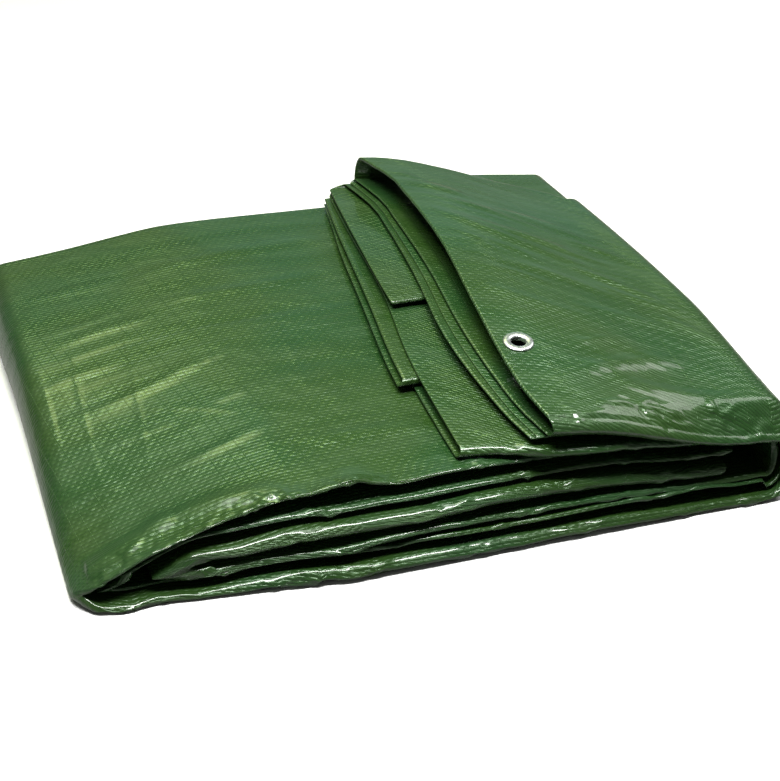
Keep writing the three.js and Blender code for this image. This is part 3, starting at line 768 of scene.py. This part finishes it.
def crumple(points, names, columns, folds, seed, depth=1.0):
    """The folded sheet with its waves, creases and pinches. "folds" are its front folds."""
    dice = np.random.default_rng(seed)
    points = points.copy()
    across = measure(points, 0)
    on_pass = {part: (names == part)[None, :] for part in ("flap", "bottom", "top")}
    near_fold = np.zeros(across.shape)
    distances = {}
    x = points[..., 0].copy()
    end_fade = soft((x - WAVE_END["x"]) / WAVE_END["over"])
    for fold in folds:
        start, count = columns.first("fold", fold)
        distances[fold] = across[start + count // 2] - across
        near = bell(distances[fold], WAVE["reach"])
        near_fold = np.maximum(near_fold, bell(distances[fold], CRUMPLE_DEPTH["fold_reach"]))
        for part, here in on_pass.items():
            share = here * near * end_fade
            points[..., 1] += share * WAVE["inward"] * np.abs(wave(x, dice)) * depth
            rise = WAVE["upward"] * wave(x, dice) * depth
            if (part, fold) in FOLD_RISE:
                rise = rise + along(FOLD_RISE[part, fold], "x", "z", x)
            points[..., 2] += share * rise
    y = points[..., 1].copy()
    height = np.zeros(x.shape)
    for (part, fold), pinches in PINCHES.items():
        if fold in distances:
            table = pinch_creases(pinches, dice)
            height += on_pass[part] * crease_heights(x, distances[fold], table)
    if 0 in folds:
        start, count = columns.first("layer", 0)
        top_face = np.zeros((across.shape[0], 1))
        top_face[: start + count] = 1
        height += on_pass["top"] * top_face * crease_heights(x, y, SLAB_CREASES)
        height += on_pass["flap"] * top_face * crease_heights(x, y, FLAP_CREASES)
        plain = mix(CRUMPLE_DEPTH["face"], CRUMPLE_DEPTH["flap"], on_pass["flap"])
    else:
        plain = CRUMPLE_DEPTH["hidden"]
    lengthways = measure(points, 1)
    coarse_p = lengthways / CRUMPLE["length"]
    coarse = facets(coarse_p, across / CRUMPLE["width"] + CRUMPLE["slant"] * coarse_p, seed)
    fine = facets(lengthways / CRUMPLE["fine_length"], across / CRUMPLE["fine_width"], seed + 1)
    patches = facets(lengthways / CRUMPLE["patch_length"], across / CRUMPLE["patch_width"], seed + 2)
    patches = mix(CRUMPLE["least"], 1.0, soft(patches + FACET["middle"]))
    amount = mix(plain, CRUMPLE_DEPTH["fold"], near_fold) * patches
    height += amount * (coarse + CRUMPLE["fine"] * fine)
    points = points + normals_of(points) * (height * depth)[..., None]
    points[..., 2] = np.maximum(points[..., 2], FLOOR_CLEARANCE)
    return points


def lay_flat_at_eyelet(points):
    """Draws the cloth round the eyelet into the eyelet's own plane."""
    normal = EYELET["normal"]
    dx, dy = points[..., 0] - EYELET["x"], points[..., 1] - EYELET["y"]
    plane = EYELET["z"] - (normal[0] * dx + normal[1] * dy) / normal[2]
    away = np.hypot(dx, dy)
    near = 1 - soft((away - EYELET_FLAT["inside"]) / (EYELET_FLAT["outside"] - EYELET_FLAT["inside"]))
    top_layer = (np.abs(points[..., 2] - plane) < EYELET_FLAT["depth"]) * near
    points = points.copy()
    points[..., 2] += (plane - points[..., 2]) * top_layer
    return points


def outside_eyelet(points):
    """Which faces of the grid to keep, so that the eyelet's barrel passes through the cloth."""
    middle = (points[:-1, :-1] + points[1:, 1:]) / 2
    away = np.hypot(middle[..., 0] - EYELET["x"], middle[..., 1] - EYELET["y"])
    deep = np.abs(middle[..., 2] - EYELET["z"])
    return (away > EYELET_FLAT["cut"]) | (deep > EYELET_FLAT["cut_depth"])


class Wiring:
    """Adds nodes to a node tree and joins them. A value is a socket or a number."""

    def __init__(self, tree):
        self.tree = tree

    def node(self, kind, inputs=(), **settings):
        """A new node with its settings. "inputs" gives its first inputs in order, or others by name."""
        node = self.tree.nodes.new(kind)
        for name, value in settings.items():
            setattr(node, name, value)
        for key, value in inputs.items() if isinstance(inputs, dict) else enumerate(inputs):
            self.feed(node.inputs[key], value)
        return node

    def feed(self, socket, value):
        if isinstance(value, bpy.types.NodeSocket):
            self.tree.links.new(value, socket)
        else:
            socket.default_value = value

    def math(self, operation, *values):
        return self.node("ShaderNodeMath", values, operation=operation).outputs[0]

    def stretch(self, vector, x, y):
        return self.node("ShaderNodeVectorMath", (vector, (x, y, 1.0)), operation="MULTIPLY").outputs[0]

    def split(self, vector):
        return self.node("ShaderNodeSeparateXYZ", (vector,)).outputs

    def between(self, value, low, high, at_low=0.0, at_high=1.0):
        """The value's place between two limits, smoothly."""
        inputs = (value, low, high, at_low, at_high)
        return self.node("ShaderNodeMapRange", inputs, interpolation_type="SMOOTHSTEP").outputs[0]

    def noise(self, vector, scale, detail=2.0, roughness=0.5):
        inputs = {"Vector": vector, "Scale": scale, "Detail": detail, "Roughness": roughness}
        return self.node("ShaderNodeTexNoise", inputs).outputs[0]

    def wander(self, vector, scale, reach):
        """The vector, pushed about by noise, so that what is laid on it isn't straight."""
        noise = self.node("ShaderNodeTexNoise", {"Vector": vector, "Scale": scale}).outputs["Color"]
        inputs = (noise, (reach, reach, 0.0), vector)
        return self.node("ShaderNodeVectorMath", inputs, operation="MULTIPLY_ADD").outputs[0]

    def cells(self, vector):
        inputs = {"Vector": vector, "Scale": 1.0}
        return self.node("ShaderNodeTexVoronoi", inputs, feature="F1").outputs["Distance"]

    def blend(self, share, a, b, kind="MIX"):
        inputs = {0: share, 6: a, 7: b}
        return self.node("ShaderNodeMix", inputs, data_type="RGBA", blend_type=kind).outputs[2]

    def bump(self, height, distance, **normal):
        inputs = {"Height": height, "Distance": distance, "Strength": 1.0, **normal}
        return self.node("ShaderNodeBump", inputs).outputs[0]


def new_material(name):
    """A material, the wiring in it and its shader node."""
    material = bpy.data.materials.new(name)
    material.use_nodes = True
    wiring = Wiring(material.node_tree)
    return material, wiring, wiring.tree.nodes["Principled BSDF"]


def tinted(colour, share=1.0):
    """A colour for a socket, each channel times its share."""
    return tuple(np.array(colour) * share) + (1.0,)


def shader_group(name, inputs, outputs):
    """A new node group, the wiring inside it, and its input sockets and output node."""
    group = bpy.data.node_groups.new(name, "ShaderNodeTree")
    for label, kind, default in inputs:
        socket = group.interface.new_socket(label, in_out="INPUT", socket_type=kind)
        if default is not None:
            socket.default_value = default
    for label in outputs:
        group.interface.new_socket(label, in_out="OUTPUT", socket_type="NodeSocketFloat")
    wiring = Wiring(group)
    return group, wiring, wiring.node("NodeGroupInput").outputs, wiring.node("NodeGroupOutput").inputs


# The woven tapes: how steeply their edges fall, how much height they lose where they dip, and how much
# of the weft's height and of each set's tone shows
WEAVE = {"edge": 2.5, "warp_dip": 0.55, "weft_dip": 1.0, "weft": 0.5, "warp_tone": 0.6, "weft_tone": 0.4}
# The film's patterns as repeats per metre along and across the cloth, where it wanders the metres that
# it is pushed about, and for fold lines also their width as a share of their spacing
PATTERN = {
    "streaks": (9.0, 46.0), "sheen_clouds": 7.0, "wrinkle_patches": 22.0, "wrinkle_wander": (30.0, 0.012),
    "long_wrinkles": (34.0, 95.0), "small_wrinkles": (110.0, 210.0), "small_share": 0.35,
    "line_wander": (4.0, 0.006), "lines": (("X", 62.0, 0.028), ("Y", 38.0, 0.02)), "cross_lines": 0.5,
}
# The film's colours as shares of its green, its depths in metres and its gloss. Olive and teal are painted
# sheen, laid in patches over the film; deep is the tapes' own darker tone and also painted shade where the
# tapes dip.
FILM = {
    "olive": (1.2, 1.02, 0.95), "teal": (0.85, 1.0, 1.3), "deep": 0.62, "pale": (1.9, 1.7, 1.9),
    "weave_depth": 0.0005, "wrinkle_depth": 0.0008, "line_depth": 0.0002, "line_paleness": 0.35,
    "coat_roughness": 0.09, "specular": (0.72, 1.0, 0.7, 1.0),
}


def tape_weave():
    """Plain weave of flat tapes: the film over them rises over the tape that lies on top."""
    group, w, given, out = shader_group(
        "Tape weave",
        [("Cloth", "NodeSocketVector", None), ("Tape", "NodeSocketFloat", 0.0036)],
        ["Height", "Tone"],
    )
    split = w.split(given["Cloth"])
    u = w.math("DIVIDE", split["X"], given["Tape"])
    v = w.math("DIVIDE", split["Y"], given["Tape"])

    def tape(along_it, across_it, dip, side):
        """Height and tone of flat tapes that dip under the others. "side" is -1 for the weft."""
        number = w.math("FLOOR", across_it)
        from_middle = w.math("ABSOLUTE", w.math("SUBTRACT", w.math("FRACT", across_it), 0.5))
        edge = w.math("POWER", w.math("MULTIPLY", from_middle, 2.0), WEAVE["edge"])
        turn = w.math("MULTIPLY", w.math("ADD", along_it, number), math.pi)
        over = w.math("MULTIPLY_ADD", w.math("SINE", turn), side * dip / 2, 1 - dip / 2)
        tone = w.node("ShaderNodeTexWhiteNoise", {"W": number}, noise_dimensions="1D").outputs["Value"]
        return w.math("MULTIPLY", w.math("SUBTRACT", 1.0, edge), over), tone

    warp, warp_tone = tape(u, v, WEAVE["warp_dip"], 1)
    weft, weft_tone = tape(v, u, WEAVE["weft_dip"], -1)
    w.feed(out["Height"], w.math("MAXIMUM", warp, w.math("MULTIPLY", weft, WEAVE["weft"])))
    weft_tone = w.math("MULTIPLY", weft_tone, WEAVE["weft_tone"])
    w.feed(out["Tone"], w.math("MULTIPLY_ADD", warp_tone, WEAVE["warp_tone"], weft_tone))
    return group


def film_creases():
    """Small wrinkles in the film, and the fine straight lines that folding leaves in it."""
    group, w, given, out = shader_group(
        "Film creases", [("Cloth", "NodeSocketVector", None)], ["Wrinkles", "Fold lines"]
    )
    bent = w.wander(given["Cloth"], *PATTERN["wrinkle_wander"])
    long_cells = w.cells(w.stretch(bent, *PATTERN["long_wrinkles"]))
    small_cells = w.cells(w.stretch(bent, *PATTERN["small_wrinkles"]))
    both = w.math("MULTIPLY_ADD", small_cells, PATTERN["small_share"], long_cells)
    patches = w.between(w.noise(given["Cloth"], PATTERN["wrinkle_patches"]), 0.36, 0.62, 0.2, 1.0)
    w.feed(out["Wrinkles"], w.math("MULTIPLY", both, patches))

    split = w.split(w.wander(given["Cloth"], *PATTERN["line_wander"]))
    lines = []
    for axis, repeats, width in PATTERN["lines"]:
        inputs = {"W": split[axis], "Scale": repeats}
        cells = w.node("ShaderNodeTexVoronoi", inputs, voronoi_dimensions="1D", feature="DISTANCE_TO_EDGE")
        lines.append(w.between(cells.outputs[0], 0.0, width, 1.0, 0.0))
    crossing = w.math("MULTIPLY", lines[1], PATTERN["cross_lines"])
    w.feed(out["Fold lines"], w.math("MAXIMUM", lines[0], crossing))
    return group


def coated_film(settings):
    """The green laminated weave, glossy, with streaks where the film is rubbed, patches of painted sheen,
    and painted shade where its tapes dip.
    """
    material, w, shader = new_material("Green coated weave")
    cloth = w.node("ShaderNodeUVMap", uv_map="Cloth").outputs[0]
    weave = w.node("ShaderNodeGroup", node_tree=tape_weave())
    creases = w.node("ShaderNodeGroup", node_tree=film_creases())
    w.feed(weave.inputs["Tape"], settings.tape)
    for group in (weave, creases):
        w.feed(group.inputs["Cloth"], cloth)
    height, tone = weave.outputs["Height"], weave.outputs["Tone"]
    wrinkles, lines = creases.outputs["Wrinkles"], creases.outputs["Fold lines"]

    names = ("olive", "teal", "deep", "pale")
    olive, teal, deep, pale = (tinted(settings.colour, FILM[name]) for name in names)
    streaks = w.noise(w.stretch(cloth, *PATTERN["streaks"]), 1.0, detail=3.0)
    # Patches of olive and teal: painted sheen, standing in for the film's reflections.
    colour = w.blend(w.between(w.noise(cloth, PATTERN["sheen_clouds"]), 0.4, 0.62), olive, teal)
    colour = w.blend(w.between(tone, 0.2, 0.9, 0.0, 0.28), colour, deep)
    # Darker where the weave is low: painted shade in the dips between the tapes.
    colour = w.blend(w.between(height, 0.1, 0.55, 0.3, 0.0), colour, deep)
    colour = w.blend(w.math("MULTIPLY", lines, FILM["line_paleness"]), colour, pale)
    normal = w.bump(height, FILM["weave_depth"])
    normal = w.bump(wrinkles, FILM["wrinkle_depth"], Normal=normal)
    normal = w.bump(lines, FILM["line_depth"], Normal=normal)
    rough = w.between(streaks, 0.34, 0.66, settings.roughness - 0.07, settings.roughness + 0.09)
    for name, value in {
        "Base Color": colour,
        "Roughness": rough,
        "Specular Tint": FILM["specular"],
        "Coat Roughness": FILM["coat_roughness"],
        "Coat Weight": w.between(streaks, 0.3, 0.7, 0.4, 0.9),
        "Normal": normal,
    }.items():
        w.feed(shader.inputs[name], value)
    return material


def pressed_aluminium(name, colour, roughness):
    """Stamped aluminium, lightly scuffed."""
    material, w, shader = new_material(name)
    place = w.node("ShaderNodeTexCoord").outputs["Object"]
    scuffs = w.noise(place, 900.0, detail=4.0, roughness=0.6)
    blotches = w.between(w.noise(place, 180.0), 0.35, 0.75)
    w.feed(shader.inputs["Base Color"], w.blend(blotches, tinted(colour), tinted(colour, 0.72)))
    w.feed(shader.inputs["Roughness"], w.between(scuffs, 0.3, 0.7, roughness - 0.08, roughness + 0.1))
    w.feed(shader.inputs["Metallic"], 0.95)
    w.feed(shader.inputs["Normal"], w.bump(scuffs, 0.00008))
    return material


def dress(piece, material):
    """Puts a piece on the pack's body with its material."""
    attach(piece, "root")
    piece.data.materials.append(material)


def sheet_piece(name, columns, steps, folds, seed, depth, start_across=0.0, eyelet=False):
    """One piece of the folded cloth, and its flat size in metres: across the folds and along them."""
    points, names = sheet_grid(columns, steps)
    points = crumple(points, names, columns, folds, seed, depth)
    if eyelet:
        points = lay_flat_at_eyelet(points)
    outer_count = sum(columns.first("layer", 0)) if eyelet else 0
    points, names = add_hem(points, names, outer_count)
    lengthways, across = measure(points, 1), measure(points, 0)
    uv = np.stack([lengthways - lengthways[:, :1], across + start_across], axis=2)
    piece = mesh_from_grid(name, points, uv, outside_eyelet(points) if eyelet else None)
    return piece, (across[-1].mean() * MM, lengthways[:, -1].mean() * MM)


def lathe(name, profile, steps):
    """A closed ring turned round the eyelet's axis. The profile holds radii and heights in mm."""
    profile = np.array(profile)
    angles = 2 * np.pi * np.arange(steps) / steps
    around = np.stack([np.cos(angles), np.sin(angles)], axis=1)
    turned = np.concatenate(
        [profile[:, None, 0:1] * around[None], np.repeat(profile[:, None, 1:2], steps, axis=1)], axis=2
    )
    turn = Vector((0, 0, 1)).rotation_difference(Vector(EYELET["normal"])).to_matrix()
    centre = np.array([EYELET["x"], EYELET["y"], EYELET["z"]]) + PACK_SHIFT
    place = (turned.reshape(-1, 3) @ np.array(turn).T + centre) * MM
    faces = []
    for i in range(len(profile)):
        here, following = i * steps, (i + 1) % len(profile) * steps
        for j in range(steps):
            beside = (j + 1) % steps
            faces.append((here + j, here + beside, following + beside, following + j))
    mesh = bpy.data.meshes.new(name)
    mesh.from_pydata(place.tolist(), [], faces)
    mesh.polygons.foreach_set("use_smooth", np.ones(len(faces), bool))
    return add_object(name, mesh)


def arc(centre, radii, start, end, steps):
    """Points on an arc of an ellipse, in degrees."""
    return [
        (centre[0] + radii[0] * math.cos(angle), centre[1] + radii[1] * math.sin(angle))
        for angle in np.radians(np.linspace(start, end, steps + 1))
    ]


def ring_profile(flange, hole, crown):
    """Section of the eyelet: a crowned flange, its barrel, and the curl under the washer."""
    outer, inner = flange / 2, hole / 2
    middle, half = (outer + inner) / 2, (outer - inner) / 2
    wall, rim, barrel_end = 0.7, 0.6, -1.4
    curl_radii, curl_height = (1.25, 0.9), -2.0
    top = arc((middle, rim), (half, crown), 0, 180, 18)
    barrel = [(inner, 0.0), (inner, barrel_end)]
    curl = arc((inner + curl_radii[0], curl_height), curl_radii, 180, 340, 8)
    back = [(inner + 1.75, -1.95), (inner + wall, -1.3), (inner + wall, -0.2)]
    under = [(inner + wall + 0.5, 0.25), (middle, crown * 0.4), (outer - 0.6, 0.3), (outer - 0.2, 0.25)]
    return top + barrel + curl + back + under


# The washer: its gap round the barrel, how far it stays inside the flange, its faces and its bevel
WASHER = {"gap": 0.9, "inset": 1.0, "low": -1.9, "high": -1.35, "bevel": 0.25}


def washer_profile(inner, outer):
    """Section of the washer: a flat ring with bevelled edges."""
    low, high, bevel = WASHER["low"], WASHER["high"], WASHER["bevel"]
    return [
        (outer, high - bevel), (outer - bevel, high), (inner + bevel, high), (inner, high - bevel),
        (inner, low + bevel), (inner + bevel, low), (outer - bevel, low), (outer, low + bevel),
    ]


def number_setting(name, description, low, high, default, **kind):
    return bpy.props.FloatProperty(
        name=name, description=description, min=low, max=high, default=default, **kind
    )


def colour_setting(name, description, default):
    return bpy.props.FloatVectorProperty(
        name=name, description=description, subtype="COLOR", size=3, min=0, max=1, default=default
    )


class ClothSettings(bpy.types.PropertyGroup):
    """Sizes and finish of the tarpaulin."""

    colour: colour_setting("Green", "Base colour of the film", (0.0155, 0.0475, 0.0088))
    roughness: number_setting(
        "Roughness", "Roughness of the film under its gloss", 0.1, 0.9, 0.34, subtype="FACTOR"
    )
    tape: number_setting("Tape width", "Width of the woven tapes", 0.001, 0.01, 0.0036, unit="LENGTH")
    depth: number_setting(
        "Crumple", "Depth of the creases, as a share of the tables'", 0.0, 1.5, 1.0, subtype="FACTOR"
    )


class EyeletSettings(bpy.types.PropertyGroup):
    """Sizes and finish of the eyelet."""

    flange: number_setting("Flange", "Diameter over the flange", 0.02, 0.028, 0.024, unit="LENGTH")
    hole: number_setting("Hole", "Diameter of the hole", 0.008, 0.0135, 0.012, unit="LENGTH")
    colour: colour_setting("Metal", "Colour of the aluminium", (0.78, 0.83, 0.81))


class StageSettings(bpy.types.PropertyGroup):
    """Floor and light."""

    floor: colour_setting("Floor", "Colour of the floor", (0.95, 0.95, 0.95))
    bounce: number_setting(
        "Bounce", "Share of its light that the floor throws back", 0, 1, 0.25, subtype="FACTOR"
    )
    surround: number_setting("Surround", "Brightness of the light from all sides", 0.01, 2, 0.1)
    overhead: number_setting(
        "Softboxes", "Power of which each softbox gives its share", 0, 200, 33, unit="POWER"
    )


class TARPAULIN_OT_cloth(bpy.types.Operator):
    """Fold the tarpaulin: the outer layer with the edge that shows, and the layers inside it"""

    bl_idname = "tarpaulin.cloth"
    bl_label = "Folded cloth"

    def execute(self, context):
        settings = context.scene.tarpaulin_cloth
        film = coated_film(settings)
        outer, outer_flat = sheet_piece(
            "tarp_outer", outer_columns(), OUTER_STEPS, (0,), seed=11, depth=settings.depth, eyelet=True
        )
        inner, inner_flat = sheet_piece(
            "tarp_inner", inner_columns(), INNER_STEPS, (2, 6), seed=23, depth=settings.depth,
            start_across=outer_flat[0] / MM,
        )
        dress(outer, film)
        dress(inner, film)
        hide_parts("tarp_sheet", "hem_strip")
        return {"FINISHED"}


class TARPAULIN_OT_eyelet(bpy.types.Operator):
    """Make the eyelet: the ring through the hem, and the washer under it"""

    bl_idname = "tarpaulin.eyelet"
    bl_label = "Eyelet"

    def execute(self, context):
        settings = context.scene.tarpaulin_eyelet
        flange, hole = settings.flange / MM, settings.hole / MM
        ring = lathe("eyelet_flange", ring_profile(flange, hole, crown=1.5), steps=72)
        dress(ring, pressed_aluminium("Bright aluminium", settings.colour, 0.3))
        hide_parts("eyelet_ring")
        inner, outer = hole / 2 + WASHER["gap"], flange / 2 - WASHER["inset"]
        washer = lathe("eyelet_backing", washer_profile(inner, outer), steps=60)
        dull = tuple(0.85 * value for value in settings.colour)
        dress(washer, pressed_aluminium("Washer aluminium", dull, 0.36))
        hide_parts("eyelet_washer")
        return {"FINISHED"}


class TARPAULIN_OT_stage(bpy.types.Operator):
    """Set out the floor, the lights and the camera"""

    bl_idname = "tarpaulin.stage"
    bl_label = "Floor, light and camera"

    def execute(self, context):
        settings = context.scene.tarpaulin_stage
        scene = context.scene
        mesh = bpy.data.meshes.new("floor")
        corners = [(x * FLOOR_HALF, y * FLOOR_HALF, 0) for x, y in ((-1, -1), (1, -1), (1, 1), (-1, 1))]
        mesh.from_pydata(corners, [], [(0, 1, 2, 3)])
        mesh.materials.append(matt_paper(settings.floor, settings.bounce))
        add_object("floor", mesh)

        scene.world = studio_world(settings.surround)
        for light in SOFTBOXES:
            softbox(settings.overhead, **light)
        scene.camera = photo_camera()
        scene.view_settings.view_transform = "Standard"
        return {"FINISHED"}


FLOOR_HALF = 6.0
# Softboxes: bearing from the back towards +X and height in degrees, distance and size in metres, and
# the share of the power setting that each gives.
SOFTBOXES = (
    {
        "name": "overhead", "bearing": -75, "height": 79, "away": 1.9, "size": (1.2, 1.0),
        "share": 0.5, "tint": (1.0, 1.0, 0.98),
    },
    {
        "name": "strip", "bearing": -170, "height": 73, "away": 1.6, "size": (1.2, 0.22),
        "share": 1.25, "tint": (1.0, 1.0, 0.98),
    },
    {
        "name": "key", "bearing": 85, "height": 46, "away": 1.9, "size": (1.0, 0.8),
        "share": 0.3, "tint": (1.0, 1.0, 0.97),
    },
)
# Soft glows of the studio's walls: where they are, how wide, how bright and of what colour.
GLOWS = (
    {"bearing": -30, "height": 46, "reach": 30, "strength": 0.36, "tint": (0.95, 1.0, 0.5)},
    {"bearing": 4, "height": 54, "reach": 16, "strength": 1.0, "tint": (0.9, 1.0, 0.6)},
    {"bearing": 24, "height": 14, "reach": 22, "strength": 0.3, "tint": (0.5, 1.0, 0.8)},
    {"bearing": -4, "height": 70, "reach": 12, "strength": 2.8, "tint": (0.9, 1.0, 0.85)},
)
CAMERA = {"place": (-0.32986, -1.09821, 0.704), "ahead": (0.2671, 0.8126, -0.518), "focal_px": 1575.0}
SENSOR_WIDTH = 36.0
IMAGE_WIDTH = 780.0


def pointing(bearing, height):
    """The direction of a bearing from the back towards +X and a height, in degrees."""
    turn, rise = math.radians(bearing), math.radians(height)
    return Vector((math.sin(turn) * math.cos(rise), math.cos(turn) * math.cos(rise), math.sin(rise)))


def studio_world(strength):
    """Even light from all sides, with the soft glows added."""
    world = bpy.data.worlds.new("Studio")
    world.use_nodes = True
    w = Wiring(world.node_tree)
    background = w.tree.nodes["Background"]
    place = w.node("ShaderNodeTexCoord").outputs["Generated"]
    total = w.node("ShaderNodeCombineColor", (1.0, 1.0, 1.0)).outputs[0]
    for glow in GLOWS:
        towards = pointing(glow["bearing"], glow["height"])
        facing = w.node("ShaderNodeVectorMath", (place, towards), operation="DOT_PRODUCT")
        edge = math.cos(math.radians(glow["reach"]))
        share = w.between(facing.outputs["Value"], edge, 1.0)
        bright = tuple(1 + value * glow["strength"] / strength for value in glow["tint"]) + (1.0,)
        total = w.blend(1.0, total, w.blend(share, (1.0, 1.0, 1.0, 1.0), bright), "MULTIPLY")
    w.feed(background.inputs["Color"], total)
    background.inputs["Strength"].default_value = strength
    return world


def softbox(power, name, bearing, height, away, size, share, tint):
    data = bpy.data.lights.new(name, "AREA")
    data.shape = "RECTANGLE"
    data.size, data.size_y = size
    data.energy = power * share
    data.color = tint
    ahead = pointing(bearing, height)
    light = add_object(name, data)
    light.location = ahead * away
    light.rotation_mode = "QUATERNION"
    light.rotation_quaternion = (-ahead).to_track_quat("-Z", "Y")


def photo_camera():
    camera = add_object("camera", bpy.data.cameras.new("camera"))
    camera.location = CAMERA["place"]
    camera.rotation_mode = "QUATERNION"
    camera.rotation_quaternion = Vector(CAMERA["ahead"]).to_track_quat("-Z", "Y")
    camera.data.sensor_fit = "HORIZONTAL"
    camera.data.sensor_width = SENSOR_WIDTH
    camera.data.lens = CAMERA["focal_px"] * SENSOR_WIDTH / IMAGE_WIDTH
    return camera


def matt_paper(colour, bounce):
    """The floor: pale matt paper, that throws only a share of its light back on the cloth."""
    material, w, shader = new_material("Matt paper")
    place = w.node("ShaderNodeTexCoord").outputs["Object"]
    paper = w.blend(w.noise(place, 3.0), tinted(colour), tinted(colour, 0.985))
    seen = w.node("ShaderNodeLightPath").outputs["Is Camera Ray"]
    w.feed(shader.inputs["Base Color"], w.blend(seen, tinted(colour, bounce), paper))
    w.feed(shader.inputs["Roughness"], 0.9)
    return material


class TARPAULIN_PT_panel(bpy.types.Panel):
    """Lists the pieces and their settings"""

    bl_idname = "TARPAULIN_PT_panel"
    bl_label = "Folded tarpaulin"
    bl_space_type = "VIEW_3D"
    bl_region_type = "UI"
    bl_category = "Tarpaulin"

    def draw(self, context):
        scene = context.scene
        for operator, settings, names in (
            ("tarpaulin.cloth", scene.tarpaulin_cloth, ("colour", "roughness", "tape", "depth")),
            ("tarpaulin.eyelet", scene.tarpaulin_eyelet, ("flange", "hole", "colour")),
            ("tarpaulin.stage", scene.tarpaulin_stage, ("floor", "bounce", "surround", "overhead")),
        ):
            box = self.layout.box()
            box.operator(operator)
            for name in names:
                box.prop(settings, name)


SETTINGS = {
    "tarpaulin_cloth": ClothSettings,
    "tarpaulin_eyelet": EyeletSettings,
    "tarpaulin_stage": StageSettings,
}
CLASSES = (
    *SETTINGS.values(), TARPAULIN_OT_cloth, TARPAULIN_OT_eyelet, TARPAULIN_OT_stage, TARPAULIN_PT_panel
)


def register():
    for item in CLASSES:
        bpy.utils.register_class(item)
    for name, group in SETTINGS.items():
        setattr(bpy.types.Scene, name, bpy.props.PointerProperty(type=group))


def unregister():
    for name in SETTINGS:
        delattr(bpy.types.Scene, name)
    for item in reversed(CLASSES):
        bpy.utils.unregister_class(item)


def main():
    register()
    bpy.ops.tarpaulin.cloth()
    bpy.ops.tarpaulin.eyelet()
    bpy.ops.tarpaulin.stage()


if __name__ == "__main__":
    main()
